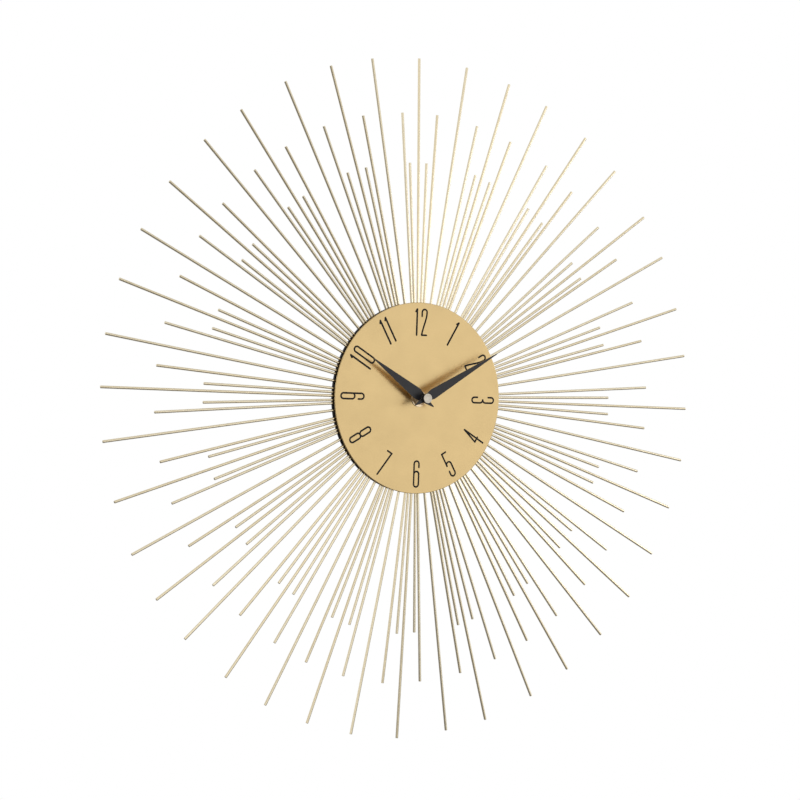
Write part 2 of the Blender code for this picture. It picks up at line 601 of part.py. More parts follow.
def build_going_train():
    """Rotor, fifth, second, third and center wheel, each meshed with the one before it."""
    third_phase = meshing_phase(TO_THIRD, PINION, SECOND_PINION_PHASE, THIRD_TEETH)
    center_phase = meshing_phase(TO_THIRD + pi, PINION, THIRD_PINION_PHASE, CENTER_TEETH)
    fifth_pinion_phase = meshing_phase(TO_FIFTH, SECOND_TEETH, SECOND_PHASE, PINION)
    rotor_phase = meshing_phase(TO_ROTOR, FIFTH_TEETH, FIFTH_PHASE, PINION)

    center = wheel("center_wheel", CENTER_TEETH, CENTER_MODULE, center_phase, CENTRE, CENTER_LAYER)
    bored(center, "center_bore", CENTER_BORE,
          CENTER_LAYER - OVERCUT, CENTER_LAYER + LAYER + OVERCUT, steps=12)

    third = wheel("third_wheel", THIRD_TEETH, THIRD_MODULE, third_phase, THIRD_AXIS, THIRD_LAYER)
    add_gear(third, "third_pinion", PINION, CENTER_MODULE, THIRD_PINION_PHASE, THIRD_AXIS,
             THIRD_LAYER + LAYER - WELD, CENTER_LAYER + LAYER + WELD)
    add_arbor(third, "third_arbor", PIVOT_RADIUS, PIVOT_START, PIVOT_END, THIRD_AXIS)

    second = wheel("second_wheel", SECOND_TEETH, SECOND_MODULE, SECOND_PHASE, CENTRE, SECOND_LAYER)
    add_gear(second, "second_pinion", PINION, THIRD_MODULE, SECOND_PINION_PHASE, CENTRE,
             SECOND_LAYER + LAYER - WELD, THIRD_LAYER + LAYER)
    add_arbor(second, "second_arbor", PIVOT_RADIUS, PIVOT_START, SECOND_ARBOR_END, CENTRE)

    fifth = wheel("fifth_wheel", FIFTH_TEETH, FIFTH_MODULE, FIFTH_PHASE, FIFTH_AXIS, FIFTH_LAYER)
    add_gear(fifth, "fifth_pinion", PINION, SECOND_MODULE, fifth_pinion_phase, FIFTH_AXIS,
             FIFTH_LAYER + LAYER - WELD, SECOND_LAYER + LAYER + WELD)
    add_arbor(fifth, "fifth_arbor", PIVOT_RADIUS, PIVOT_START, PIVOT_END, FIFTH_AXIS)

    rotor = rod("rotor", ROTOR_RADIUS, ROTOR_Z, ROTOR_Z + ROTOR_HEIGHT, ROTOR_AXIS, MAGNET, 20, clock)
    add_gear(rotor, "rotor_pinion", PINION, FIFTH_MODULE, rotor_phase, ROTOR_AXIS,
             FIFTH_LAYER - WELD, ROTOR_Z + WELD)
    add_arbor(rotor, "rotor_arbor", PIVOT_RADIUS, PIVOT_START, PIVOT_END, ROTOR_AXIS)


def build_motion_works():
    """Minute arbor, motion wheel, hour wheel and the setting knob at the back."""
    motion_phase = meshing_phase(TO_MOTION, CANNON_TEETH, CANNON_PHASE, MOTION_TEETH)
    knob_phase = meshing_phase(TO_KNOB, MOTION_TEETH, motion_phase, KNOB_TEETH)
    hour_phase = meshing_phase(TO_MOTION + pi, MOTION_PINION, MOTION_PINION_PHASE, HOUR_TEETH)

    minute = rod("minute_arbor", MINUTE_ARBOR_RADIUS, MOTION_LAYER - STEP_BACK, MINUTE_ARBOR_END,
                 paint=BRASS, group=clock)
    add_gear(minute, "cannon_pinion", CANNON_TEETH, MOTION_MODULE, CANNON_PHASE, CENTRE,
             MOTION_LAYER, MOTION_LAYER + LAYER)
    add_arbor(minute, "clutch_tail", CLUTCH_TAIL_RADIUS,
              CENTER_LAYER - WELD, MOTION_LAYER + LAYER / 2, CENTRE)
    bored(minute, "second_pivot_hole", PIVOT_HOLE,
          CENTER_LAYER - OVERCUT, CENTER_LAYER + PIVOT_REACH, steps=12)

    motion = wheel("motion_wheel", MOTION_TEETH, MOTION_MODULE, motion_phase, MOTION_AXIS, MOTION_LAYER)
    add_gear(motion, "motion_pinion", MOTION_PINION, MOTION_MODULE, MOTION_PINION_PHASE, MOTION_AXIS,
             MOTION_LAYER + LAYER - WELD, HOUR_LAYER + LAYER)
    add_arbor(motion, "motion_arbor", PIVOT_RADIUS, MOTION_LAYER - STEP_BACK, PIVOT_END, MOTION_AXIS)

    hour = wheel("hour_wheel", HOUR_TEETH, MOTION_MODULE, hour_phase, CENTRE, HOUR_LAYER)
    boolean(hour, rod("hour_tube", HOUR_TUBE_RADIUS, HOUR_LAYER + STEP_BACK, HOUR_TUBE_END), "UNION")
    bored(hour, "hour_bore", HOUR_TUBE_BORE, HOUR_LAYER - OVERCUT, HOUR_TUBE_END + OVERCUT)

    knob_front = KNOB_BACK + KNOB_HEIGHT
    knob = rod("setting_knob", KNOB_RADIUS, KNOB_BACK, knob_front, KNOB_AXIS, GEAR_PLASTIC, 24, clock)
    add_arbor(knob, "knob_arbor", KNOB_ARBOR_RADIUS, knob_front - WELD, MOTION_LAYER + WELD, KNOB_AXIS)
    add_gear(knob, "knob_pinion", KNOB_TEETH, MOTION_MODULE, knob_phase, KNOB_AXIS,
             MOTION_LAYER, MOTION_LAYER + LAYER)


# --- Movement: motor, electronics, battery --------------------------------------------------------------
def along_x(piece, x, y, z):
    """Lay a turned piece down, so that its axis runs along x from the point given."""
    piece.location = (x, y, z)
    piece.rotation_euler = (0, pi / 2, 0)


def build_motor():
    window = box_outline(STATOR_LEFT + STATOR_LEG, STATOR_RIGHT - STATOR_LEG,
                         STATOR_WINDOW_BOTTOM, STATOR_TOP - CORE_WIDTH)
    plate("stator",
          [box_outline(STATOR_LEFT, STATOR_RIGHT, STATOR_BOTTOM, STATOR_TOP), window,
           circle(STATOR_HOLE, ROTOR_AXIS, 24)],
          STATOR_Z, STATOR_Z + STATOR_THICKNESS, STEEL)
    start = STATOR_LEFT + STATOR_LEG + BOBBIN_PLAY
    length = STATOR_RIGHT - STATOR_LEG - BOBBIN_PLAY - start
    flange = FLANGE_THICKNESS
    bobbin = turned("coil_bobbin",
                    ((BOBBIN_FLANGE, length), (BOBBIN_FLANGE, length - flange), (BOBBIN_CORE, length - flange),
                     (BOBBIN_CORE, flange), (BOBBIN_FLANGE, flange), (BOBBIN_FLANGE, 0),
                     (BOBBIN_BORE, 0), (BOBBIN_BORE, length)), GEAR_PLASTIC, steps=16)
    along_x(bobbin, start, COIL_Y, COIL_Z)
    low = flange + GAP
    high = length - flange - GAP
    winding = turned("coil_winding",
                     ((WINDING_OUTER, high), (WINDING_OUTER, low), (WINDING_INNER, low), (WINDING_INNER, high)),
                     COPPER, steps=16)
    along_x(winding, start, COIL_Y, COIL_Z)


def build_electronics():
    board_front = BOARD_Z + BOARD_THICKNESS
    plate("circuit_board", [box_outline(BOARD_LEFT, BOARD_RIGHT, BOARD_BOTTOM, BOARD_TOP)],
          BOARD_Z, board_front, BOARD_GREEN)
    chip = board_front + SOLDER_GAP
    plate("driver_chip", [circle(CHIP_RADIUS, Vector(CHIP_PLACE), 16)], chip, chip + CHIP_HEIGHT, EPOXY)
    crystal = rod("quartz_crystal", CRYSTAL_RADIUS, 0, CRYSTAL_LENGTH, paint=STEEL, steps=12, group=clock)
    along_x(crystal, *CRYSTAL_PLACE, board_front + SOLDER_GAP + CRYSTAL_RADIUS)


def build_battery():
    end = BATTERY_LENGTH + BATTERY_NUB_LENGTH
    inside = BATTERY_RADIUS - BATTERY_EDGE
    battery = turned("battery",
                     ((0, end), (BATTERY_NUB_RADIUS, end), (BATTERY_NUB_RADIUS, BATTERY_LENGTH),
                      (inside, BATTERY_LENGTH), (BATTERY_RADIUS, BATTERY_LENGTH - BATTERY_EDGE),
                      (BATTERY_RADIUS, BATTERY_EDGE), (inside, 0), (0, 0)), CELL_SLEEVE)
    along_x(battery, BATTERY_LEFT, BATTERY_Y, BATTERY_Z)
    plus = turned("contact_positive",
                  ((0, CONTACT_THICKNESS), (PLUS_RADIUS, CONTACT_THICKNESS), (PLUS_RADIUS, 0), (0, 0)),
                  STEEL, steps=12)
    along_x(plus, BATTERY_LEFT + end + GAP, BATTERY_Y, BATTERY_Z)
    minus_start = -INNER + CONTACT_PLAY
    reach = BATTERY_LEFT - GAP - minus_start
    minus = turned("contact_negative",
                   ((0, reach), (SPRING_TOP_RADIUS, reach), (SPRING_FOOT_RADIUS, CONTACT_THICKNESS),
                    (MINUS_RADIUS, CONTACT_THICKNESS), (MINUS_RADIUS, 0), (0, 0)), STEEL, steps=12)
    along_x(minus, minus_start, BATTERY_Y, BATTERY_Z)


def shade():
    """Smooth shading on the round pieces, with their edges kept sharp."""
    for piece in clock.objects:
        if piece.type == "MESH":
            for modifier in piece.modifiers:
                if modifier.type == "SCREW":
                    modifier.use_smooth_shade = True
            piece.data.shade_smooth()
            piece.data.set_sharp_from_angle(angle=radians(40))


build_dial()
build_screws()
build_rays()
build_centre_hardware()
build_hanger()
build_hands()
build_case()
build_bridge()
build_going_train()
build_motion_works()
build_motor()
build_electronics()
build_battery()
shade()
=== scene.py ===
"""Sunburst wall clock: what it looks like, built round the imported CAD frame.

Meshes are made in the clock's own axes, x to the right, y up and z out of the wall, with the
hands' axis at x = y = 0, and turned into the row frame (x, -z, y) as the last step.
Angles of numerals, rays and hands are degrees clockwise from 12 o'clock, seen from the front.
"""

import bmesh
import bpy
import json
from math import atan2, cos, degrees, hypot, pi, radians, sin, sqrt
from mathutils import Matrix, Quaternion, Vector
from random import Random


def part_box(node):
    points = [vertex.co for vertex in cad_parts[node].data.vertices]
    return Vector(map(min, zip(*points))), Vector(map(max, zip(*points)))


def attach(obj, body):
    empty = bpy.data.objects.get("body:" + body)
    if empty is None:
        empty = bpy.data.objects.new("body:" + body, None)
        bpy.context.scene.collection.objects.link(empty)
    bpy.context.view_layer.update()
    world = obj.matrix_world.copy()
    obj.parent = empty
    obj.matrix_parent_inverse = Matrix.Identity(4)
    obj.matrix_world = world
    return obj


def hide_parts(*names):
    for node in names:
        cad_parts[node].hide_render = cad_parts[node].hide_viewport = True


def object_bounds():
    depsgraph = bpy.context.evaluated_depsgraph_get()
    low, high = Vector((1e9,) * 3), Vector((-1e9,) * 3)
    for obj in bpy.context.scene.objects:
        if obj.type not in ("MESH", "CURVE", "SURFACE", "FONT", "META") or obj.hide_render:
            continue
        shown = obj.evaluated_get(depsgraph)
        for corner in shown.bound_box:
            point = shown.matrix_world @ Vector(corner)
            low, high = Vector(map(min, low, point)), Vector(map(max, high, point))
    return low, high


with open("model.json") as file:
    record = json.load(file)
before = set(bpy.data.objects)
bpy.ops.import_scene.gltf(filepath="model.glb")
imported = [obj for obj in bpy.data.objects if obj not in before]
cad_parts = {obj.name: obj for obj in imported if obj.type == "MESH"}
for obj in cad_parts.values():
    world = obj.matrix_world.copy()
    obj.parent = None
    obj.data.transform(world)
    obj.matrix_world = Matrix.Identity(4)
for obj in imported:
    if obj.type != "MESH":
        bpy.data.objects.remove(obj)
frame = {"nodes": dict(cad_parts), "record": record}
cad_low, cad_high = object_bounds()

NODES = frame["nodes"]
RECORD = frame["record"]
OUT_OF_WALL = Matrix.Rotation(pi / 2, 4, "X")
INTO_WALL = OUT_OF_WALL.inverted()


# --- Places read from the frame ---
def levels(node):
    """A node's lowest and highest height above the wall."""
    low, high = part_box(node)
    return -high.y, -low.y


def reach(node):
    """Half a node's width, which is the radius of a round one."""
    low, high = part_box(node)
    return (high.x - low.x) / 2


def sizes(node):
    return (*levels(node), reach(node))


def middle(node):
    """A node's centre in x and y."""
    low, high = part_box(node)
    return Vector(((low.x + high.x) / 2, (low.z + high.z) / 2))


def tip_of(node):
    """The angle and radius of a node's furthest point from the hands' axis."""
    furthest = max((v.co for v in NODES[node].data.vertices), key=lambda p: hypot(p.x, p.z))
    return degrees(atan2(furthest.x, furthest.z)), hypot(furthest.x, furthest.z)


OPENINGS = {opening["name"]: opening["box_m"] for opening in RECORD["physics"]["openings"]}
DIAL_BACK, DIAL_FRONT = levels("dial_plate")
DIAL_RADIUS = reach("dial_plate")
PLATE_BACK, PLATE_FRONT = levels("back_plate")

# --- Camera, matched to the photograph's viewpoint ---
CAMERA_DISTANCE = 1.925           # from the dial's centre
CAMERA_AZIMUTH = -31.0            # degrees round the clock, negative to its left
CAMERA_LENS = 96.75               # millimetres
CAMERA_ROLL = 1.9                 # degrees
AIM_LEFT = 0.50                   # degrees by which the camera looks past the dial's centre
AIM_DOWN = 0.05

# --- Numerals ---
NUMERAL_RADIUS = 0.0680
NUMERAL_HEIGHT = 0.0231           # between the centre lines of the top and bottom strokes
NUMERAL_HALF_WIDTH = 0.0025       # from a digit's axis to its outermost centre line
STROKE = 0.00080                  # half a stroke's width
BAR_STROKE = 0.00086              # half the width of the plain upright bar of a 1
CAP_STEPS = 6                     # cross-sections in a stroke's round end
INK_THICKNESS = 0.00004
INK_SUNK = 0.00001
UPSIDE_DOWN = range(4, 9)         # the hours whose digits stand with their tops towards the centre
TEN_SPREAD = 0.0075
ELEVEN_SPREAD = 0.0058
TWELVE_SPREAD = 0.0077
FLAG = Vector((-0.0013, -0.0021))  # from the top of a 1 to the end of its flag

# --- Rays, by the same rule as the CAD ---
CLUSTERS = 20
LONG_RAY = 0.305                  # from the hands' axis to the tip of a long rod
# Each rod's angle from the cluster's middle, and its length as a share of a long one's
CLUSTER_PATTERN = ((-4.4, 0.840), (-2.4, 0.694), (0.0, 1.0), (2.4, 0.694), (4.4, 0.840), (9.0, 1.0))
HAND_MADE_SEED = 24
WELD_SEED = 7
TIP_WANDER = 0.55                 # degrees
LENGTH_WANDER = 0.006
DRIFT = 1.4                       # degrees by which clusters stray from even spacing
DRIFT_START = 75.0
RAY_ROOT = 0.068
RAY_RADIUS = 0.0012
STRIP_INNER = 0.066
STRIP_OUTER = 0.078
STRIP_START = -6.0
STRIP_END = 11.2
STRIP_THICKNESS = 0.0015
STRIP_STEPS = 15
ROD_SIDES = 20
TIP_CHAMFER = 0.00025
WELD_SIZE = Vector((0.0016, 0.0012, 0.0007))
WELD_PLACES = (0.0025, 0.0085)    # along a rod, from its root
WELD_ASIDE = 0.8 * RAY_RADIUS


# --- Drawing aids, as lists of points ---
def clockwise(angle, radius):
    return Vector((radius * sin(radians(angle)), radius * cos(radians(angle))))


def arc(centre, radius, start, end, points=17):
    """Points from one angle to another, in degrees anticlockwise from +x."""
    turns = [radians(start + (end - start) * i / (points - 1)) for i in range(points)]
    return [Vector((centre[0] + radius * cos(t), centre[1] + radius * sin(t))) for t in turns]


def circle(radius, centre=(0, 0), points=96):
    return arc(centre, radius, 0, 360 * (points - 1) / points, points)


def bend(start, pull_a, pull_b, end, points=15):
    """A cubic Bezier stretch."""
    start, pull_a, pull_b, end = map(Vector, (start, pull_a, pull_b, end))
    made = []
    for i in range(points):
        t = i / (points - 1)
        s = 1 - t
        made.append(s ** 3 * start + 3 * s * s * t * pull_a + 3 * s * t * t * pull_b + t ** 3 * end)
    return made


def rounded_box(left, right, bottom, top, corner, points=7):
    corners = ((right, top, 0), (left, top, 90), (left, bottom, 180), (right, bottom, 270))
    outline = []
    for x, y, start in corners:
        inside = (x - corner if x == right else x + corner, y - corner if y == top else y + corner)
        outline += arc(inside, corner, start, start + 90, points)
    return outline


# --- Mesh building ---
def outward(shape, faces):
    bmesh.ops.recalc_face_normals(shape, faces=faces)


def shell_between(shape, rings, slot=0, loop=False, along=None):
    """Skin a row of rings as one closed shell. A ring of one point is a hub; other ends are closed flat.

    If along gives a value for each ring, the UVs run once round the shell and follow those values.
    """
    uv = shape.loops.layers.uv.verify() if along else None
    verts = [[shape.verts.new(p) for p in ring] for ring in rings]
    pairs = list(zip(verts, verts[1:]))
    if loop:
        pairs.append((verts[-1], verts[0]))
    faces = []
    for k, (a, b) in enumerate(pairs):
        count = max(len(a), len(b))
        for i in range(count):
            corners = {}
            for row, ring, turn in ((k, a, i), (k, a, i + 1), (k + 1, b, i + 1), (k + 1, b, i)):
                corners.setdefault(ring[turn % count % len(ring)], (turn / count, row))
            face = shape.faces.new(list(corners))
            faces.append(face)
            if along:
                for corner, (turn, row) in zip(face.loops, corners.values()):
                    corner[uv].uv = (turn, along[row])
    for end in () if loop else (verts[0], verts[-1]):
        if len(end) > 1:
            faces.append(shape.faces.new(end))
    for face in faces:
        face.material_index = slot
    outward(shape, faces)


def rim(radius, low, high, edge):
    """The outer side of a turned part, from its top face down, with both edges broken."""
    return [(radius - edge, high), (radius, high - edge), (radius, low + edge), (radius - edge, low)]


def turned(shape, profile, centre=(0, 0), steps=64, slot=0):
    """A turned solid. The profile is a closed row of (radius, height), or starts and ends on the axis."""
    turns = [2 * pi * i / steps for i in range(steps)]
    rings = []
    for radius, height in profile:
        around = turns if radius else turns[:1]
        rings.append([(centre[0] + radius * cos(t), centre[1] + radius * sin(t), height) for t in around])
    shell_between(shape, rings, slot=slot, loop=profile[0][0] > 0)


def slab(outlines, low, high):
    """A flat solid between two heights: the first outline, less the others."""
    curve = bpy.data.curves.new("outline", "CURVE")
    curve.dimensions = "2D"
    curve.fill_mode = "BOTH"
    curve.extrude = (high - low) / 2
    for outline in outlines:
        spline = curve.splines.new("POLY")
        spline.points.add(len(outline) - 1)
        for point, (x, y) in zip(spline.points, outline):
            point.co = (x, y, 0, 1)
        spline.use_cyclic_u = True
    drawn = bpy.data.objects.new("outline", curve)
    bpy.context.scene.collection.objects.link(drawn)
    shape = settle(drawn)
    bpy.data.curves.remove(curve)
    bmesh.ops.remove_doubles(shape, verts=shape.verts, dist=1e-7)
    bmesh.ops.translate(shape, verts=shape.verts, vec=(0, 0, (low + high) / 2))
    outward(shape, shape.faces)
    return shape


def add(shape, part):
    """Copy one bmesh into another, and free the first."""
    copied = bpy.data.meshes.new("part")
    part.to_mesh(copied)
    part.free()
    shape.from_mesh(copied)
    bpy.data.meshes.remove(copied)


def as_object(name, shape):
    mesh = bpy.data.meshes.new(name)
    shape.to_mesh(mesh)
    shape.free()
    made = bpy.data.objects.new(name, mesh)
    bpy.context.scene.collection.objects.link(made)
    return made


def settle(thing):
    """Apply an object's modifiers and hand back its mesh as a bmesh; the object goes."""
    bpy.context.view_layer.update()
    mesh = bpy.data.meshes.new_from_object(thing.evaluated_get(bpy.context.evaluated_depsgraph_get()))
    shape = bmesh.new()
    shape.from_mesh(mesh)
    bpy.data.meshes.remove(mesh)
    bpy.data.objects.remove(thing)
    return shape


def combine(shape, others, operation):
    """Cut, join or intersect a bmesh with others in turn."""
    thing = as_object("body", shape)
    tools = [as_object("tool", other) for other in others]
    for tool in tools:
        change = thing.modifiers.new("combine", "BOOLEAN")
        change.operation = operation
        change.solver = "EXACT"
        change.object = tool
    made = settle(thing)
    for tool in tools:
        bpy.data.objects.remove(tool)
    return made


def soften(shape, width, segments=2, angle=35):
    """Round off every edge sharper than the angle."""
    thing = as_object("body", shape)
    bevel = thing.modifiers.new("bevel", "BEVEL")
    bevel.width = width
    bevel.segments = segments
    bevel.limit_method = "ANGLE"
    bevel.angle_limit = radians(angle)
    return settle(thing)


def piece(name, shape, nodes, materials, body="frame", sharp=35):
    """Finish a mesh as a piece of the clock, riding on a CAD body."""
    shape.transform(OUT_OF_WALL)
    made = as_object(name, shape)
    made.data.shade_smooth()
    made.data.set_sharp_from_angle(angle=radians(sharp))
    flat_faces_first = made.modifiers.new("flat_faces_first", "WEIGHTED_NORMAL")
    flat_faces_first.keep_sharp = True
    for material in materials:
        made.data.materials.append(material)
    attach(made, body)
    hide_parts(*nodes)


# --- Materials ---
class Finish:
    """A node material: a Principled shader with colour, roughness and bump driven by noise."""

    def __init__(self, name, colour, metallic, roughness, **sockets):
        self.material = bpy.data.materials.new(name)
        self.material.use_nodes = True
        self.tree = self.material.node_tree
        self.shader = self.tree.nodes["Principled BSDF"]
        self.colour = (*colour, 1)
        self.shader.inputs["Base Color"].default_value = self.colour
        self.shader.inputs["Metallic"].default_value = metallic
        self.shader.inputs["Roughness"].default_value = roughness
        for label, value in sockets.items():
            self.shader.inputs[label.replace("_", " ")].default_value = value
        self.coordinates = self.node("ShaderNodeTexCoord").outputs["Object"]
        self.normal = None

    def node(self, kind, **values):
        made = self.tree.nodes.new(kind)
        for label, value in values.items():
            if hasattr(made, label):
                setattr(made, label, value)
            else:
                made.inputs[label.replace("_", " ")].default_value = value
        return made

    def link(self, source, target):
        self.tree.links.new(source, target)

    def noise(self, scale, detail=4.0, stretch=None, coordinates=None):
        """Noise with features of about 1 / scale metres."""
        texture = self.node("ShaderNodeTexNoise", Scale=scale, Detail=detail, Roughness=0.6)
        source = coordinates or self.coordinates
        if stretch:
            mapping = self.node("ShaderNodeMapping")
            mapping.inputs["Scale"].default_value = stretch
            self.link(source, mapping.inputs["Vector"])
            source = mapping.outputs["Vector"]
        self.link(source, texture.inputs["Vector"])
        return texture.outputs["Fac"]

    def radial(self):
        """Distance from the hands' axis, for marks left by a lathe."""
        parts = self.node("ShaderNodeSeparateXYZ")
        self.link(self.coordinates, parts.inputs["Vector"])
        flat = self.node("ShaderNodeCombineXYZ")
        self.link(parts.outputs["X"], flat.inputs["X"])
        self.link(parts.outputs["Z"], flat.inputs["Y"])
        length = self.node("ShaderNodeVectorMath", operation="LENGTH")
        self.link(flat.outputs["Vector"], length.inputs[0])
        out = self.node("ShaderNodeCombineXYZ")
        self.link(length.outputs["Value"], out.inputs["X"])
        return out.outputs["Vector"]

    def spread(self, factor, low, high, low_in=0.3, high_in=0.7):
        made = self.node("ShaderNodeMapRange")
        for label, value in (("From Min", low_in), ("From Max", high_in), ("To Min", low), ("To Max", high)):
            made.inputs[label].default_value = value
        self.link(factor, made.inputs["Value"])
        return made.outputs["Result"]

    def vary_roughness(self, factor, low, high):
        self.link(self.spread(factor, low, high), self.shader.inputs["Roughness"])

    def vary_colour(self, factor, other, low=0.0, high=1.0):
        """Blend towards another colour by a factor, spread over a range of shares."""
        self.blend_colour(self.spread(factor, low, high), other)

    def blend_colour(self, share, other):
        """Blend the colour so far towards another one."""
        mix = self.node("ShaderNodeMix", data_type="RGBA")
        first, second, result = mix.inputs[6], mix.inputs[7], mix.outputs[2]
        first.default_value = self.colour
        before = self.shader.inputs["Base Color"].links
        if before:
            self.link(before[0].from_socket, first)
        second.default_value = (*other, 1)
        self.link(share, mix.inputs["Factor"])
        self.link(result, self.shader.inputs["Base Color"])

    def bump(self, height, depth, strength=1.0):
        """Relief of a given depth in metres, added to any there already."""
        made = self.node("ShaderNodeBump", Strength=strength, Distance=depth)
        self.link(height, made.inputs["Height"])
        if self.normal:
            self.link(self.normal, made.inputs["Normal"])
        self.normal = made.outputs["Normal"]
        self.link(self.normal, self.shader.inputs["Normal"])


def shaded(colour, share):
    return tuple(c * share for c in colour)


def noisy(name, colour, metallic, roughness, tints=(), polish=None, reliefs=(), **sockets):
    """A finish varied by noise.

    A tint is (noise, other colour, least share, most share), the polish is (noise, least roughness, most
    roughness), and a relief is (noise, depth). A noise is (scale, detail), and its stretch if it has one.
    """
    made = Finish(name, colour, metallic, roughness, **sockets)
    for noise, other, low, high in tints:
        made.vary_colour(made.noise(*noise), other, low, high)
    if polish:
        noise, low, high = polish
        made.vary_roughness(made.noise(*noise), low, high)
    for noise, depth in reliefs:
        made.bump(made.noise(*noise), depth)
    return made


def champagne_gold():
    """Satin metal with the faint rings of a lathe."""
    base = (0.535, 0.392, 0.190)
    made = noisy("champagne_gold", base, 1.0, 0.33, tints=[((9, 2), shaded(base, 0.965), 0, 1)],
                 polish=((60, 5), 0.31, 0.35), reliefs=[((5200, 3), 0.0000012)])
    made.bump(made.noise(2600, 2, coordinates=made.radial()), 0.0000008)
    return made.material


def ray_gold():
    """Drawn wire: each rod a little different, with fine streaks along it."""
    made = Finish("ray_gold", (0.80, 0.72, 0.54), 1.0, 0.2)
    island = made.node("ShaderNodeNewGeometry").outputs["Random Per Island"]
    made.blend_colour(made.spread(island, 0.0, 0.8, 0, 1), (0.75, 0.65, 0.45))
    made.vary_colour(made.noise(120, 3), (0.62, 0.52, 0.36), 0.0, 0.35)
    drawn = made.noise(40, 4, (26, 0.7, 1), made.node("ShaderNodeTexCoord").outputs["UV"])
    made.vary_roughness(drawn, 0.19, 0.27)
    made.bump(drawn, 0.0000010)
    made.bump(made.noise(2400, 3), 0.0000005)
    return made.material


def silver():
    base = (0.445, 0.405, 0.340)
    made = noisy("silver", base, 1.0, 0.3, tints=[((700, 4), shaded(base, 0.88), 0, 1)])
    lathe = made.noise(5200, 3, coordinates=made.radial())
    made.vary_roughness(lathe, 0.22, 0.38)
    made.bump(lathe, 0.000004)
    return made.material


def brass():
    made = noisy("brass", (0.72, 0.60, 0.42), 1.0, 0.27, tints=[((600, 4), (0.55, 0.42, 0.27), 0, 0.7)],
                 polish=((1500, 4), 0.2, 0.38))
    made.bump(made.noise(3200, 3, coordinates=made.radial()), 0.000004)
    return made.material


def case_plastic():
    """Moulded plastic with a spark-eroded grain."""
    made = noisy("case_plastic", (0.022, 0.022, 0.023), 0.0, 0.5,
                 tints=[((120, 4), (0.034, 0.034, 0.035), 0, 0.7)], polish=((300, 4), 0.44, 0.6))
    cells = made.node("ShaderNodeTexVoronoi", Scale=2200.0)
    made.link(made.coordinates, cells.inputs["Vector"])
    made.bump(cells.outputs["Distance"], 0.000025, 0.6)
    made.bump(made.noise(5200, 3), 0.000006)
    return made.material


def copper_wire():
    """Fine turns of enamelled wire round an axis along x."""
    made = Finish("copper_wire", (0.60, 0.25, 0.12), 1.0, 0.3)
    turns = made.node("ShaderNodeTexWave", wave_type="BANDS", bands_direction="X", Scale=1200.0,
                      Distortion=0.4)
    made.link(made.coordinates, turns.inputs["Vector"])
    made.vary_colour(turns.outputs["Fac"], (0.38, 0.13, 0.06))
    made.bump(turns.outputs["Fac"], 0.00004)
    return made.material


def board_green():
    """Solder mask with faint copper tracks under it."""
    made = noisy("board_green", (0.02, 0.13, 0.05), 0.0, 0.35, polish=((900, 4), 0.3, 0.45), Coat_Weight=0.4)
    tracks = made.node("ShaderNodeTexBrick", Scale=420.0, Color1=(0, 0, 0, 1), Color2=(0, 0, 0, 1),
                       Mortar=(1, 1, 1, 1))
    made.link(made.coordinates, tracks.inputs["Vector"])
    made.vary_colour(tracks.outputs["Fac"], (0.06, 0.24, 0.08))
    made.bump(tracks.outputs["Fac"], 0.00003)
    return made.material


def cell_sleeve():
    """Printed shrink sleeve with a plain copper-coloured band at the plus end."""
    made = noisy("cell_sleeve", (0.045, 0.065, 0.11), 0.15, 0.3, polish=((500, 4), 0.25, 0.38),
                 reliefs=[((700, 3), 0.00001)], Coat_Weight=0.5)
    parts = made.node("ShaderNodeSeparateXYZ")
    made.link(made.coordinates, parts.inputs["Vector"])
    low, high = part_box("battery")
    band = high.x - 0.28 * (high.x - low.x)
    made.blend_colour(made.spread(parts.outputs["X"], 0, 1, band, band + 0.0002), (0.62, 0.34, 0.16))
    return made.material


BARE_METAL = (0.97, 0.78, 0.42)
CHAMPAGNE = champagne_gold()
RAY_GOLD = ray_gold()
SILVER = silver()
BRASS = brass()
CASE_PLASTIC = case_plastic()
COPPER = copper_wire()
BOARD = board_green()
CELL_SLEEVE = cell_sleeve()
WELD = noisy("weld_metal", (0.45, 0.36, 0.24), 1.0, 0.4, tints=[((900, 4), (0.25, 0.17, 0.13), 0, 0.8)],
             polish=((700, 4), 0.3, 0.6), reliefs=[((1600, 4), 0.00005)]).material
BLACK_PAINT = noisy("black_paint", (0.0035, 0.0035, 0.0040), 0.0, 0.5,
                    tints=[((70, 4), (0.008, 0.0075, 0.007), 0, 0.8)], polish=((180, 5), 0.44, 0.6),
                    reliefs=[((1500, 2), 0.000012), ((6000, 3), 0.000003)], Specular_IOR_Level=0.25).material
HAND_BLACK = noisy("hand_black", (0.013, 0.013, 0.015), 0.0, 0.36,
                   tints=[((220, 3), (0.017, 0.016, 0.017), 0, 1)], polish=((420, 4), 0.32, 0.42),
                   reliefs=[((2600, 3), 0.000004)], Specular_IOR_Level=0.3).material
BARE_BRASS = noisy("bare_brass", BARE_METAL, 1.0, 0.25, tints=[((500, 4), shaded(BARE_METAL, 0.85), 0, 1)],
                   polish=((1400, 4, (1, 1, 0.08)), 0.18, 0.34),
                   reliefs=[((2600, 3, (1, 1, 0.06)), 0.000003)]).material
STEEL = noisy("zinc_steel", (0.60, 0.61, 0.61), 1.0, 0.34,
              tints=[((260, 5), (0.46, 0.48, 0.50), 0, 0.8), ((90, 3), (0.62, 0.58, 0.48), 0, 0.4)],
              polish=((500, 5), 0.26, 0.46), reliefs=[((1200, 3, (1, 1, 0.05)), 0.000006)]).material
RUBBER = noisy("rubber", (0.018, 0.018, 0.018), 0.0, 0.78, tints=[((400, 4), (0.035, 0.034, 0.032), 0, 1)],
               polish=((900, 4), 0.7, 0.88), reliefs=[((3000, 4), 0.00002)]).material
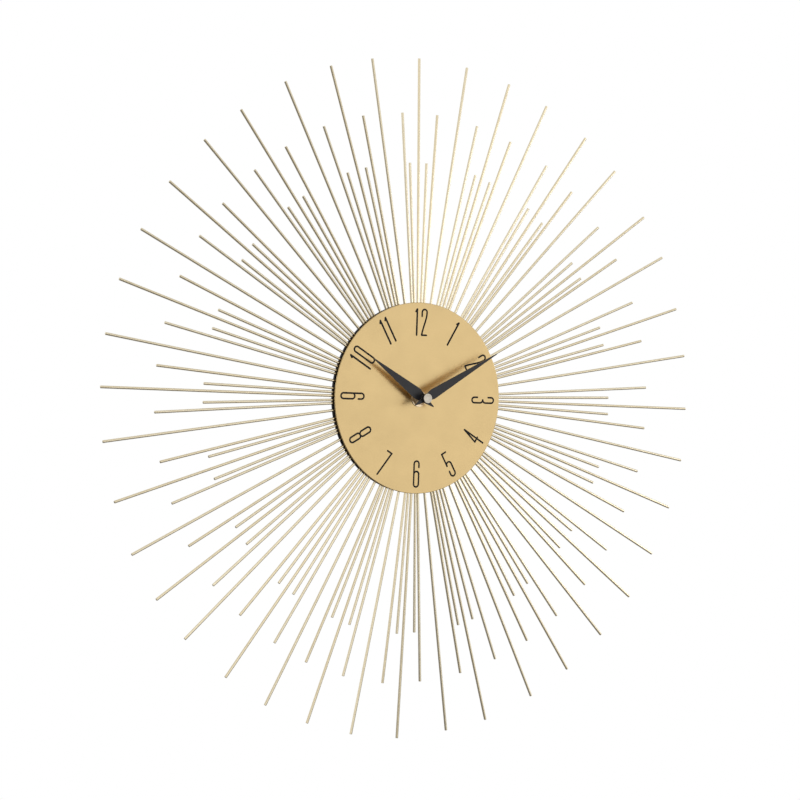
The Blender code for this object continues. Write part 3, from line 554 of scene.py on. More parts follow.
GEAR_PLASTIC = noisy("gear_plastic", (0.80, 0.79, 0.74), 0.0, 0.38,
                     tints=[((300, 4), (0.72, 0.70, 0.62), 0, 0.8)], polish=((700, 4), 0.3, 0.46),
                     reliefs=[((2600, 3), 0.000006)], Subsurface_Weight=0.15, Subsurface_Scale=0.001).material
MAGNET = noisy("magnet", (0.12, 0.12, 0.13), 0.8, 0.45, tints=[((3000, 4), (0.2, 0.2, 0.2), 0, 1)],
               reliefs=[((5000, 4), 0.00002)]).material
EPOXY = noisy("epoxy", (0.01, 0.01, 0.01), 0.0, 0.3, polish=((1500, 3), 0.22, 0.42),
              reliefs=[((900, 2), 0.00008)]).material
INK = noisy("numeral_ink", (0.004, 0.004, 0.004), 0.0, 0.6, tints=[((900, 3), (0.009, 0.008, 0.007), 0, 1)],
            polish=((1500, 3), 0.54, 0.68), reliefs=[((3500, 3), 0.000006)], Specular_IOR_Level=0.2).material
MARKING = noisy("case_marking", (0.30, 0.30, 0.29), 0.0, 0.6, tints=[((1200, 4), (0.18, 0.18, 0.18), 0, 1)],
                reliefs=[((2500, 3), 0.00001)]).material
PALE_FLOOR = noisy("pale_floor", (0.83, 0.82, 0.80), 0.0, 0.6,
                   tints=[((1.5, 4), (0.80, 0.79, 0.775), 0, 1)], polish=((6, 4), 0.5, 0.7),
                   reliefs=[((90, 4), 0.0004)]).material


# --- Dial and numerals ---
HOLE_RADIUS = 0.0042


def build_dial():
    """A flat disc with its edge rolled a little, so that it catches the light."""
    edge = 0.0004
    burr = 0.0001
    front = [(DIAL_RADIUS - edge + p.x, DIAL_FRONT - edge + p.y) for p in arc((0, 0), edge, 90, 0, 7)]
    profile = [(HOLE_RADIUS, DIAL_FRONT - burr), (HOLE_RADIUS + burr, DIAL_FRONT),
               (HOLE_RADIUS + 3 * burr, DIAL_FRONT), (0.5 * DIAL_RADIUS, DIAL_FRONT),
               (DIAL_RADIUS - 2 * edge, DIAL_FRONT), *front,
               (DIAL_RADIUS, DIAL_BACK + burr), (DIAL_RADIUS - burr, DIAL_BACK),
               (0.5 * DIAL_RADIUS, DIAL_BACK), (HOLE_RADIUS, DIAL_BACK)]
    shape = bmesh.new()
    turned(shape, profile, steps=288)
    piece("dial", shape, ["dial_plate"], [CHAMPAGNE])


def digit_strokes(digit):
    """The pen strokes of one digit, with its feet at y = 0 and its axis at x = 0."""
    w, h = NUMERAL_HALF_WIDTH, NUMERAL_HEIGHT
    over, under = (0, h - w), (0, w)
    if digit == "0":
        return [arc(over, w, 0, 180) + arc(under, w, 180, 360) + [(w, h - w)]]
    if digit == "1":
        return [[(0, 0), (0, h)], [(0, h), Vector((0, h)) + FLAG]]
    if digit == "2":
        hook = [(-w, 0.73 * h)] + arc(over, w, 180, 0)
        return [hook + bend((w, h - 1.2 * w), (w, 0.62 * h), (-0.45 * w, 0.33 * h), (-w, 0)),
                [(-w, 0), (w, 0)]]
    if digit == "3":
        upper = [(-w, 0.75 * h)] + arc(over, w, 180, 0) + bend(
            (w, 0.66 * h), (w, 0.56 * h), (0.75 * w, 0.515 * h), (-0.1 * w, 0.5 * h))
        return [upper, [(x, h - y) for x, y in upper]]
    if digit == "4":
        leg = 0.45 * w
        bar = 0.33 * h
        return [[(leg, 0), (leg, h)], [(leg, h), (-w, bar)],
                [(-w, bar), (w, bar)]]
    if digit == "5":
        bowl = 0.60 * h - w
        return [[(-w, h), (0.8 * w, h)], [(-w, h), (-w, 0.47 * h)],
                arc((0, bowl), w, 180, 0) + arc(under, w, 0, -180) + [(-w, 0.24 * h)]]
    if digit == "6":
        bowl = (0, 0.6 * h - w)
        side = [(w, 0.76 * h)] + arc(over, w, 0, 180) + arc(under, w, 180, 360)
        return [side + [(w, bowl[1])], arc(bowl, w, 0, 180)]
    if digit == "7":
        return [[(-w, h), (w, h)], [(w, h), (-0.3 * w, 0)]]
    if digit == "8":
        waist = 0.5 * h
        return [arc(over, w, 0, 180) + arc((0, waist + w), w, 180, 360) + [(w, h - w)],
                arc((0, waist - w), w, 0, 180) + arc(under, w, 180, 360) + [(w, waist - w)]]
    return [[(-x, h - y) for x, y in stroke] for stroke in digit_strokes("6")]


def stroke_rings(points, half_width, low, high):
    """Cross-sections along a pen stroke, which gets round ends unless it ends where it starts."""
    closed = (points[0] - points[-1]).length < 1e-6
    if closed:
        points = points[:-1]
    count = len(points)
    stations = []
    for i, point in enumerate(points):
        before = points[i - 1] if i or closed else point
        after = points[(i + 1) % count] if i < count - 1 or closed else point
        stations.append((point, (after - before).normalized(), half_width))
    if not closed:
        for end, sign in ((0, -1), (-1, 1)):
            place, along, _ = stations[end]
            cap = []
            for i in range(1, CAP_STEPS + 1):
                beyond = half_width * sin(pi / 2 * i / (CAP_STEPS + 0.2))
                cap.append((place + sign * along * beyond, along, sqrt(half_width ** 2 - beyond ** 2)))
            stations = cap[::-1] + stations if end == 0 else stations + cap
    rings = []
    for place, along, width in stations:
        side = Vector((-along.y, along.x)) * width
        left, right = place + side, place - side
        rings.append([(*left, low), (*right, low), (*right, high), (*left, high)])
    return rings, closed


def thinned(points):
    """Drop points that repeat the one before."""
    first, *others = map(Vector, points)
    kept = [first]
    for point in others:
        if (point - kept[-1]).length > 1e-5:
            kept.append(point)
    return kept


def build_numeral(hour):
    digits = str(hour)
    spread = {10: TEN_SPREAD, 11: ELEVEN_SPREAD, 12: TWELVE_SPREAD}.get(hour, 0)
    starts = (0,) if len(digits) == 1 else (-spread / 2, spread / 2)
    if len(digits) == 2 and digits[1] != "1":
        starts = tuple(x - (NUMERAL_HALF_WIDTH + FLAG.x) / 2 for x in starts)
    angle = 30 * hour
    upside = hour in UPSIDE_DOWN
    spin = Matrix.Rotation(radians(180 - angle if upside else -angle), 2)
    low, high = DIAL_FRONT - INK_SUNK, DIAL_FRONT + INK_THICKNESS
    strokes = []
    for digit, start in zip(digits, starts):
        for stroke in digit_strokes(digit):
            pen = BAR_STROKE if digit == "1" else STROKE
            moved = [spin @ (p + Vector((start, -NUMERAL_HEIGHT / 2))) + clockwise(angle, NUMERAL_RADIUS)
                     for p in thinned(stroke)]
            rings, closed = stroke_rings(moved, pen, low, high)
            shape = bmesh.new()
            shell_between(shape, rings, loop=closed)
            strokes.append(shape)
    first, *others = strokes
    shape = combine(first, others, "UNION") if others else first
    piece(f"numeral_{hour:02d}", shape, [], [INK])


# --- Rays ---
def ray_level():
    """The height of the rods' axes, from the lowest point of the first cluster."""
    return levels("ray_cluster_01")[0] + RAY_RADIUS


def add_rod(shape, start, end, height):
    """A drawn rod with its tip chamfered and its root end plain."""
    along = (end - start).normalized()
    side = Vector((-along.y, along.x))
    length = (end - start).length
    stations = [(0, 0), *((share * length, RAY_RADIUS) for share in (0, 0.25, 0.5, 0.75)),
                (length - TIP_CHAMFER, RAY_RADIUS),
                (length - 0.4 * TIP_CHAMFER, RAY_RADIUS - 0.35 * TIP_CHAMFER),
                (length, RAY_RADIUS - TIP_CHAMFER), (length, 0)]
    rings = []
    for distance, radius in stations:
        centre = start + along * distance
        turns = [2 * pi * i / ROD_SIDES for i in range(ROD_SIDES if radius else 1)]
        rings.append([(*(centre + side * radius * cos(t)), height + radius * sin(t)) for t in turns])
    shell_between(shape, rings, along=[distance * 10 for distance, _ in stations])


def add_weld(shape, place, height, chance):
    """A small uneven bead where a rod is welded to its strip."""
    made = bmesh.ops.create_icosphere(shape, subdivisions=2, radius=1)["verts"]
    size = WELD_SIZE * chance.uniform(0.85, 1.1)
    for vert in made:
        ripple = 1 + 0.09 * sin(7 * vert.co.x + 3 * vert.co.y) + chance.uniform(-0.04, 0.04)
        vert.co = Vector((vert.co.x * size.x, vert.co.y * size.y, vert.co.z * size.z)) * ripple
        vert.co += Vector((*place, height))
    for face in {f for v in made for f in v.link_faces}:
        face.material_index = 1


def build_ray_cluster(number, chance, welding):
    """A mounting strip with six rods welded to it."""
    middle_angle = 360 / CLUSTERS * (number - 1)
    middle_angle += DRIFT * sin(radians(middle_angle - DRIFT_START))
    height = ray_level()
    strip_front = levels(f"ray_cluster_{number:02d}")[1]
    strip_back = strip_front - STRIP_THICKNESS
    start = middle_angle + STRIP_START
    end = middle_angle + STRIP_END
    angles = [start + (end - start) * i / STRIP_STEPS for i in range(STRIP_STEPS + 1)]
    outline = [clockwise(a, STRIP_OUTER) for a in angles]
    outline += [clockwise(a, STRIP_INNER) for a in reversed(angles)]
    shape = soften(slab([outline], strip_back, strip_front), 0.0002)
    for offset, share in CLUSTER_PATTERN:
        root = clockwise(middle_angle + offset, RAY_ROOT)
        angle = middle_angle + offset + chance.uniform(-TIP_WANDER, TIP_WANDER)
        tip = clockwise(angle, share * LONG_RAY * (1 - chance.uniform(0, LENGTH_WANDER)))
        add_rod(shape, root, tip, height)
        along = (tip - root).normalized()
        side = Vector((-along.y, along.x))
        for distance in WELD_PLACES:
            for sign in (-1, 1):
                add_weld(shape, root + along * distance + side * sign * WELD_ASIDE, strip_back, welding)
    piece(f"rays_{number:02d}", shape, [f"ray_cluster_{number:02d}"], [RAY_GOLD, WELD])


# --- Back plate, screws, standoffs ---
SCREW_HOLE = 0.0018
HEAD_GAP = 0.0003                 # between a screw's head and the plate
RECESS_REACH = 0.0017
RECESS_HALF_WIDTH = 0.00034
RECESS_DEPTH = 0.0011
RECESS_TURN = 0.3
SCREW_ROOT = 0.00118
SCREW_CREST = 0.0015
SCREW_PITCH = 0.0005
OVERCUT = 0.001                   # how far a cutter reaches past what it cuts


def build_back_plate():
    radius = reach("back_plate")
    edge = 0.0003
    rim = [(radius - edge + p.x, PLATE_FRONT - edge + p.y) for p in arc((0, 0), edge, 90, 0, 6)]
    rim += [(radius - edge + p.x, PLATE_BACK + edge + p.y) for p in arc((0, 0), edge, 0, -90, 6)]
    shape = bmesh.new()
    turned(shape, [(HOLE_RADIUS, PLATE_FRONT), (radius / 2, PLATE_FRONT), (radius - 2 * edge, PLATE_FRONT),
                   *rim, (radius - 2 * edge, PLATE_BACK), (radius / 2, PLATE_BACK),
                   (HOLE_RADIUS, PLATE_BACK)], steps=192)
    holes = []
    for number in range(1, 5):
        place = middle(f"plate_screw_{number}")
        holes.append(slab([circle(SCREW_HOLE, place, 32)], PLATE_BACK - OVERCUT, PLATE_FRONT + OVERCUT))
    shape = combine(shape, holes, "DIFFERENCE")
    piece("back_plate_disc", shape, ["back_plate"], [BLACK_PAINT])


def add_thread(shape, centre, root, crest, low, high, pitch, sides, bore=0.0):
    """A shaft with a real helical thread; its ends run down to the root."""
    rows = max(8, int((high - low) / pitch * 8))
    rings = []
    for k in range(rows + 1):
        height = low + (high - low) * k / rows
        fade = min(1, (height - low) / (0.6 * pitch), (high - height) / (0.6 * pitch))
        ring = []
        for i in range(sides):
            turn = 2 * pi * i / sides
            phase = (height / pitch - i / sides) % 1
            ridge = max(0, min(1, 2.2 * (1 - abs(2 * phase - 1)) - 0.4))
            radius = root + (crest - root) * ridge * max(0, fade)
            ring.append((centre[0] + radius * cos(turn), centre[1] + radius * sin(turn), height))
        rings.append(ring)
    if bore:
        rings += [[(*p, height) for p in circle(bore, centre, sides)] for height in (high, low)]
    shell_between(shape, rings, loop=bore > 0)


def build_screw(number):
    """A pan-head screw, its head towards the wall, with a cross recess."""
    node = f"plate_screw_{number}"
    back, front = levels(node)
    centre = middle(node)
    radius = reach(node)
    head = PLATE_BACK - HEAD_GAP - back
    turns = [pi / 2 * i / 8 for i in range(8)]
    dome = [(radius * cos(t) ** 0.7, back + head * (1 - sin(t)) * 0.55) for t in turns]
    shape = bmesh.new()
    turned(shape, [(0, back + head), (radius * 0.94, back + head), (radius, back + 0.85 * head), *dome,
                   (0, back)], centre, 48)
    bars = []
    for turn in (RECESS_TURN, RECESS_TURN + pi / 2):
        along = Vector((cos(turn), sin(turn)))
        across = Vector((-along.y, along.x))
        corners = [centre + along * a * RECESS_REACH + across * b * RECESS_HALF_WIDTH
                   for a, b in ((-1, -1), (1, -1), (1, 1), (-1, 1))]
        bars.append(slab([corners], back - OVERCUT, back + RECESS_DEPTH))
    shape = combine(shape, bars, "DIFFERENCE")
    add_thread(shape, centre, SCREW_ROOT, SCREW_CREST, back + head - 0.0002, front, SCREW_PITCH, 24)
    piece(f"screw_{number}", shape, [node], [STEEL])


def build_standoff(number):
    node = f"dial_standoff_{number}"
    low, high, radius = sizes(node)
    bore = SCREW_HOLE
    edge = 0.0003
    shape = bmesh.new()
    turned(shape, [(bore + edge, high), *rim(radius, low, high, edge), (bore + edge, low),
                   (bore, low + edge), (bore, high - edge)], middle(node), 48)
    piece(f"standoff_{number}", shape, [node], [STEEL])


# --- Centre hardware ---
def build_washer():
    low, high, radius = sizes("bushing_washer")
    edge = 0.00012
    shape = bmesh.new()
    turned(shape, [(HOLE_RADIUS, high - edge), (HOLE_RADIUS + edge, high), *rim(radius, low, high, edge),
                   (HOLE_RADIUS, low)])
    piece("washer", shape, ["bushing_washer"], [BRASS])


def build_nut():
    """A hexagon whose corners are turned off at 30 degrees on both faces."""
    low, high = levels("bushing_nut")
    corner = reach("bushing_nut")
    flat = corner * cos(radians(30))
    drop = (corner - flat) * 0.9
    barrel = bmesh.new()
    turned(barrel, [(0, high), (flat * 0.96, high), (corner * 1.02, high - drop), (corner * 1.02, low + drop),
                    (flat * 0.96, low), (0, low)], steps=96)
    shape = combine(slab([circle(corner, points=6)], low, high), [barrel], "INTERSECT")
    hole = slab([circle(HOLE_RADIUS, points=48)], low - OVERCUT, high + OVERCUT)
    bite = bmesh.new()
    above, below = high + 0.0001, high - 0.0005
    turned(bite, [(0, above), (HOLE_RADIUS + 0.0005, above), (HOLE_RADIUS - 0.0001, below), (0, below)],
           steps=48)
    shape = combine(shape, [hole, bite], "DIFFERENCE")
    piece("nut", shape, ["bushing_nut"], [BRASS], sharp=20)


def build_bushing():
    low, high, radius = sizes("threaded_bushing")
    shape = bmesh.new()
    depth, pitch, bore = 0.00042, 0.00075, 0.0027
    add_thread(shape, (0, 0), radius - depth, radius, low, high, pitch, 64, bore)
    piece("bushing", shape, ["threaded_bushing"], [BRASS])


def build_gasket():
    low, high, radius = sizes("rubber_gasket")
    shape = bmesh.new()
    turned(shape, [(HOLE_RADIUS, high), *rim(radius, low, high, 0.0003), (HOLE_RADIUS, low)])
    piece("gasket", shape, ["rubber_gasket"], [RUBBER])


# --- Hands ---
BLUNT = 0.00042                   # half the width of a hand's tip and tail
HOUR_TAIL, HOUR_HALF_WIDTH, HOUR_SHOULDER = 0.0135, 0.0054, 0.0075
MINUTE_TAIL, MINUTE_HALF_WIDTH, MINUTE_SHOULDER = 0.0130, 0.0047, 0.0080
HOUR_BORE = 0.00275
MINUTE_BORE = 0.00165
COLLET_RADIUS = 0.0033


def cad_part(node, lowest, highest):
    """The part of a CAD node's mesh that lies between two heights, its cut ends closed."""
    shape = bmesh.new()
    shape.from_mesh(NODES[node].data)
    shape.transform(INTO_WALL)
    bmesh.ops.remove_doubles(shape, verts=shape.verts, dist=1e-7)
    gone = [v for v in shape.verts if not lowest <= v.co.z <= highest]
    bmesh.ops.delete(shape, geom=gone, context="VERTS")
    loose = [v for v in shape.verts if not v.link_faces]
    bmesh.ops.delete(shape, geom=loose, context="VERTS")
    bmesh.ops.holes_fill(shape, edges=[e for e in shape.edges if len(e.link_faces) == 1])
    for face in shape.faces:
        face.material_index = 0
    outward(shape, shape.faces)
    return shape


def add_blade(shape, angle, tip, tail, half_width, shoulder, bore, low, high):
    """A kite-shaped blade with a painted front, bare edges and back, and its edges slightly rounded."""
    along = clockwise(angle, 1)
    across = Vector((along.y, -along.x))
    corners = ((tip - BLUNT / 2, -BLUNT), (tip - BLUNT / 2, BLUNT), (shoulder, half_width), (-tail, BLUNT),
               (-tail, -BLUNT), (shoulder, -half_width))
    kite = [along * a + across * b for a, b in corners]
    blade = soften(slab([kite, circle(bore, points=32)], low, high), 0.00004, 2, 50)
    for face in blade.faces:
        face.material_index = 0 if face.normal.z > 0.9 else 1
    add(shape, blade)


def build_hands():
    hour_low, hour_high = levels("hour_hand")
    hour_angle, hour_tip = tip_of("hour_hand")
    hour = bmesh.new()
    add_blade(hour, hour_angle, hour_tip, HOUR_TAIL, HOUR_HALF_WIDTH, HOUR_SHOULDER, HOUR_BORE,
              hour_low, hour_high)
    piece("hour_blade", hour, ["hour_hand"], [HAND_BLACK, BARE_BRASS], "hour_hand")

    minute_low, minute_high = levels("minute_hand")
    minute_angle, minute_tip = tip_of("minute_hand")
    blade_low = minute_high - (hour_high - hour_low)
    minute = bmesh.new()
    add_blade(minute, minute_angle, minute_tip, MINUTE_TAIL, MINUTE_HALF_WIDTH, MINUTE_SHOULDER, MINUTE_BORE,
              blade_low, minute_high)
    edge = 0.0003
    collet_top = blade_low + 0.0001
    turned(minute, [(MINUTE_BORE, collet_top), (COLLET_RADIUS, collet_top),
                    (COLLET_RADIUS, minute_low + 2 * edge), (COLLET_RADIUS - edge, minute_low),
                    (MINUTE_BORE, minute_low)], steps=48)
    piece("minute_blade", minute, ["minute_hand"], [HAND_BLACK, BARE_BRASS], "minute_hand")


def build_cap():
    """The cap nut: a satin face, turned slightly hollow, over a dark side."""
    low, high, radius = sizes("cap_nut")
    dish = 0.00025
    lip = 0.0005
    bore = MINUTE_BORE
    shape = bmesh.new()
    hollow = [(radius - lip - (radius - lip) * i / 6, high - dish * sin(pi / 2 * i / 6)) for i in range(7)]
    turned(shape, [(0, high - dish), *hollow[5:0:-1], (radius - lip, high), (radius - 0.0002, high),
                   (radius, high - 0.0002), (radius, high - 0.0004), (0, high - 0.0004)], steps=96)
    turned(shape, [(bore, high - 0.0012), (bore + 0.0001, high - 0.0005), (radius - 0.0002, high - 0.0004),
                   (radius - 0.0001, high - 0.0008), (radius - 0.0001, low + 0.0002), (radius - 0.0003, low),
                   (bore, low)], steps=96, slot=1)
    piece("cap", shape, ["cap_nut"], [SILVER, HAND_BLACK], "minute_hand")


def build_hour_tube():
    """The hour wheel with its tube turned fine, because the tube shows under the hands."""
    low, high = levels("hour_wheel")
    gear_top = low + 0.0010
    shape = cad_part("hour_wheel", low - 1, gear_top + 0.00005)
    radius, bore = 0.0026, 0.0016
    turned(shape, [(bore, high - 0.0001), (bore + 0.0001, high), (radius - 0.0002, high),
                   (radius, high - 0.0003), (radius, low + 0.0002), (bore, low + 0.0002)], slot=1)
    piece("hour_wheel_and_tube", shape, ["hour_wheel"], [GEAR_PLASTIC, HAND_BLACK],
          "hour_hand")


# --- Movement ---
WALL = 0.0012
BAY_TOP = -0.0119
CHAMBER_BOTTOM = -0.0109
CORNER = 0.0030
HOLLOW_CORNER = 0.0015
CASE_EDGE = 0.0006
VENT_SPACING = 0.006
VENT_HALF_WIDTH = 0.0008
KNOB_OPENING = 0.0058
MARK_PEN = 0.00022                # half a moulded line's width
MARK_RISE = 0.0001
MARK_X = 0.0200                   # of the plus, and of the minus on the other side
ARROW_START, ARROW_END = 150, 30


def case_blank(low, high):
    """The case's rounded outline as a solid between two heights."""
    half = reach("movement_case_back")
    return soften(slab([rounded_box(-half, half, -half, half, CORNER, 9)], low, high), CASE_EDGE, 3, 60)


def case_hollows(inner, chamber_levels, bay_levels):
    """Cutters for the chamber of the works and for the battery's bay under it."""
    chamber = rounded_box(-inner, inner, CHAMBER_BOTTOM, inner, HOLLOW_CORNER)
    bay = rounded_box(-inner, inner, -inner, BAY_TOP, HOLLOW_CORNER)
    return [slab([chamber], *chamber_levels), slab([bay], *bay_levels)]


def build_case_front():
    """The front shell, with a row of slots along each side."""
    low, high = levels("movement_case_front")
    inner = reach("movement_case_front") - WALL
    floor = high - WALL
    shape = case_blank(low, high)
    hollow = (low - OVERCUT, floor)
    cuts = case_hollows(inner, hollow, hollow)
    cuts.append(slab([circle(HOLE_RADIUS, points=48)], floor - OVERCUT, high + OVERCUT))
    for side in (-1, 1):
        x = side * (inner + WALL - 0.0001)
        for step in range(-3, 4):
            y = VENT_SPACING * step
            down, up = y - VENT_HALF_WIDTH, y + VENT_HALF_WIDTH
            vent = [(x - 0.0004, down), (x + 0.0006, down), (x + 0.0006, up), (x - 0.0004, up)]
            cuts.append(slab([vent], low + 0.0025, high - 0.002))
    shape = combine(shape, cuts, "DIFFERENCE")
    piece("case_front", shape, ["movement_case_front"], [CASE_PLASTIC])


def add_mark(shape, points, face):
    """A raised line through the points given."""
    rings, _ = stroke_rings(points, MARK_PEN, face, face + MARK_RISE)
    shell_between(shape, rings)


def build_case_back():
    """The back shell, open at the battery, with a groove round the setting knob and moulded marks."""
    low, high = levels("movement_case_back")
    inner = reach("movement_case_back") - WALL
    knob = middle("setting_knob")
    shape = case_blank(low, high)
    groove = [circle(KNOB_OPENING + 0.0022, knob, 64), circle(KNOB_OPENING + 0.0017, knob, 64)]
    thumb = arc((0, BAY_TOP - 0.0005), 0.0045, 0, 180, 24)
    panel = [rounded_box(-0.0240, -0.0075, 0.0005, 0.0255, 0.002),
             rounded_box(-0.0236, -0.0079, 0.0009, 0.0251, 0.0016)]
    cuts = case_hollows(inner, (low + WALL, high + OVERCUT), (low - OVERCUT, high + OVERCUT))
    cuts += [slab([circle(KNOB_OPENING, knob, 64)], low - OVERCUT, low + 2 * WALL),
             slab(groove, -OVERCUT, 0.0003), slab([thumb], low - OVERCUT, 0.0005),
             slab(panel, -OVERCUT, 0.00025)]
    for x in (0.0125, 0.0225):
        for y in (0.0035, 0.0235):
            cuts.append(slab([circle(0.0014, (x, y), 24)], -OVERCUT, 0.0002))
    shape = combine(shape, cuts, "DIFFERENCE")
    piece("case_back", shape, ["movement_case_back"], [CASE_PLASTIC])

    marks = bmesh.new()
    arm = 0.0012
    face = low + 0.00002
    plus = Vector((MARK_X, CHAMBER_BOTTOM + 0.0035))
    minus = Vector((-plus.x, plus.y))
    across, upward = Vector((arm, 0)), Vector((0, arm))
    for centre, half in ((plus, across), (plus, upward), (minus, across)):
        add_mark(marks, [centre - half, centre, centre + half], face)
    arrow = arc(knob, KNOB_OPENING + 0.0035, ARROW_START, ARROW_END, 24)
    add_mark(marks, arrow, face)
    tip = arrow[-1]
    for turn in (ARROW_START - 60, ARROW_START):
        barb = Vector((cos(radians(turn)), sin(radians(turn)))) * 0.0016
        add_mark(marks, [tip, tip + barb / 2, tip + barb], face)
    piece("case_marks", marks, [], [MARKING])


def build_knob():
    """The setting knob, fluted for the fingers, on the CAD's own arbor and pinion."""
    low, high = levels("setting_knob")
    centre = middle("setting_knob")
    radius = reach("setting_knob")
    top = low + 0.0028
    flutes, flute_depth, flute_steps = 30, 0.00035, 6
    outline = []
    for i in range(flutes * flute_steps):
        turn = 2 * pi * i / (flutes * flute_steps)
        wave = 0.5 + 0.5 * cos(flutes * turn)
        grip = radius - flute_depth * wave ** 2
        outline.append(Vector((centre.x + grip * cos(turn), centre.y + grip * sin(turn))))
    shape = soften(slab([outline], low, top), 0.00015, 2, 60)
    dish = bmesh.new()
    turned(dish, [(0, low + 0.0005), (0.0032, low + 0.0005), (0.0040, low - 0.0002), (0, low - 0.0002)],
           centre, 48)
    shape = combine(shape, [dish], "DIFFERENCE")
    bar = [centre + Vector(p)
           for p in ((-0.0026, -0.0005), (0.0026, -0.0005), (0.0026, 0.0005), (-0.0026, 0.0005))]
    add(shape, soften(slab([bar], low + 0.00005, low + 0.0012), 0.00015, 2, 50))
    add(shape, cad_part("setting_knob", top + 0.00005, high + 1))
    plug = 0.0010
    turned(shape, [(0, top + 0.0006), (plug, top + 0.0006), (plug, top - 0.0005), (0, top - 0.0005)],
           centre, 24)
    piece("knob", shape, ["setting_knob"], [GEAR_PLASTIC], "setting_knob")


def build_hanger():
    """The hanger plate: a round-topped tab with a slot and a notch for the nail."""
    low, high = levels("hanger_plate")
    box_low, box_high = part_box("hanger_plate")
    half = (box_high.x - box_low.x) / 2
    slot_low, slot_high = OPENINGS["hanger_slot"]
    side = slot_high[0] + 0.0005
    bottom, top = slot_low[2] - 0.0002, slot_high[2] + 0.0002
    nail_notch = 0.0018
    notch = arc((0, top), nail_notch, 0, 180, 13)
    slot = [(-side, bottom), (side, bottom), (side, top), *notch, (-side, top)]
    outline = arc((0, box_high.z - half), half, 0, 180, 49)
    foot = rounded_box(-half, half, box_low.z, box_low.z + half, 0.0015)
    outline += [p for p in foot if p.y < box_low.z + half / 2]
    holes = [circle(HOLE_RADIUS, points=48), slot]
    shape = soften(slab([outline, *holes], low, high), 0.00012, 2, 50)
    piece("hanger", shape, ["hanger_plate"], [STEEL])


LYING = Matrix.Rotation(pi / 2, 4, "Y")


def lay_down(shape, x, y, z):
    """Lay a part turned on the z axis along x, starting at the point given."""
    shape.transform(Matrix.Translation((x, y, z)) @ LYING)


def battery_axis():
    low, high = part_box("battery")
    return low.x, high.x, (low.z + high.z) / 2, -(low.y + high.y) / 2, (high.z - low.z) / 2


def build_battery():
    """An AA cell: sleeve, crimped ends, insulating ring, plus nub and minus face."""
    left, right, y, z, radius = battery_axis()
    nub = 0.0012
    nub_radius = 0.0027
    fold = 0.0006
    length = right - left - nub
    inner = radius - 0.0007
    ring_inner, ring_outer = 0.0043, 0.0060
    top = length + nub
    under = length - 0.0002
    shape = bmesh.new()
    turned(shape, [(radius - 0.0008, length - 0.00015), (radius - 0.0004, length),
                   (radius - 0.0001, length - 0.0003), (radius, length - fold), (radius, fold),
                   (radius - 0.0001, 0.0003), (radius - 0.0004, 0), (radius - 0.0008, 0.00015)], steps=96)
    turned(shape, [(0, length - 0.0001), (inner, length - 0.0001), (inner, 0.0001), (0, 0.0001)],
           steps=96, slot=1)
    turned(shape, [(0, top), (nub_radius - 0.0004, top), (nub_radius, top - 0.0003),
                   (nub_radius, length + 0.0001), (0.0042, length + 0.00005), (0.0042, under), (0, under)],
           steps=48, slot=1)
    turned(shape, [(ring_inner, length + 0.00008), (ring_outer, length + 0.00008), (ring_outer, under),
                   (ring_inner, under)], slot=2)
    turned(shape, [(0, 0.0002), (0.0048, 0.0002), (0.0052, 0), (0.0058, 0), (0.0058, 0.0003), (0, 0.0003)],
           slot=1)
    lay_down(shape, left, y, z)
    piece("cell", shape, ["battery"], [CELL_SLEEVE, STEEL, RUBBER], "battery")


def build_contacts():
    """A pressed plate with a raised boss, and a conical spring on a plate."""
    _, _, y, z, _ = battery_axis()
    low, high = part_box("contact_positive")
    thick = high.x - low.x
    radius = (high.z - low.z) / 2
    plus = bmesh.new()
    turned(plus, [(0, thick), (radius - 0.0001, thick), (radius, thick - 0.0001), (radius, 0.0001),
                  (radius - 0.0001, 0.00005), (0.0020, 0.00008), (0.0016, 0), (0, 0)], steps=48)
    lay_down(plus, low.x, y, z)
    piece("plus_contact", plus, ["contact_positive"], [STEEL])

    low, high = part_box("contact_negative")
    length = high.x - low.x
    radius = (high.z - low.z) / 2
    wire, base = 0.00025, 0.0004
    turns, steps, wire_sides = 3.2, 90, 8
    widest, narrowest = radius - 0.0010, 0.0016
    minus = bmesh.new()
    turned(minus, [(0, base), *rim(radius, 0, base, 0.0001), (0, 0)], steps=48)
    rings = []
    for i in range(steps + 1):
        t = i / steps
        turn = 2 * pi * turns * t
        wide = widest * (1 - t) + narrowest * t
        centre = Vector((wide * cos(turn), wide * sin(turn), base + wire + (length - base - 2 * wire) * t))
        out, up = Vector((cos(turn), sin(turn), 0)), Vector((0, 0, 1))
        around = [2 * pi * k / wire_sides for k in range(wire_sides)]
        rings.append([centre + wire * (out * cos(a) + up * sin(a)) for a in around])
    shell_between(minus, rings)
    lay_down(minus, low.x, y, z)
    piece("minus_spring", minus, ["contact_negative"], [STEEL])


WHEELS = ("motion_wheel", "center_wheel", "third_wheel", "second_wheel", "fifth_wheel")
INSIDE = {
    **dict.fromkeys(("train_bridge", "coil_bobbin", *WHEELS), GEAR_PLASTIC), "rotor": MAGNET, "stator": STEEL,
    "coil_winding": COPPER, "circuit_board": BOARD, "driver_chip": EPOXY, "quartz_crystal": STEEL,
    "minute_arbor": BRASS}


def finish_inside():
    """The CAD's own pieces inside the case keep their shape and get their finish."""
    for node, material in INSIDE.items():
        mesh = NODES[node].data
        mesh.materials.clear()
        mesh.materials.append(material)


# --- Stage, light and camera ---
FLOOR_DROP = 1.2
FLOOR_RADIUS = 4.5
# How bright the studio is, from straight below (0) to straight above (1)
STUDIO = ((0.0, 0.26), (0.32, 0.28), (0.42, 0.28), (0.47, 0.72), (0.52, 1.14), (0.62, 0.92), (0.80, 0.78),
          (1.0, 0.95))
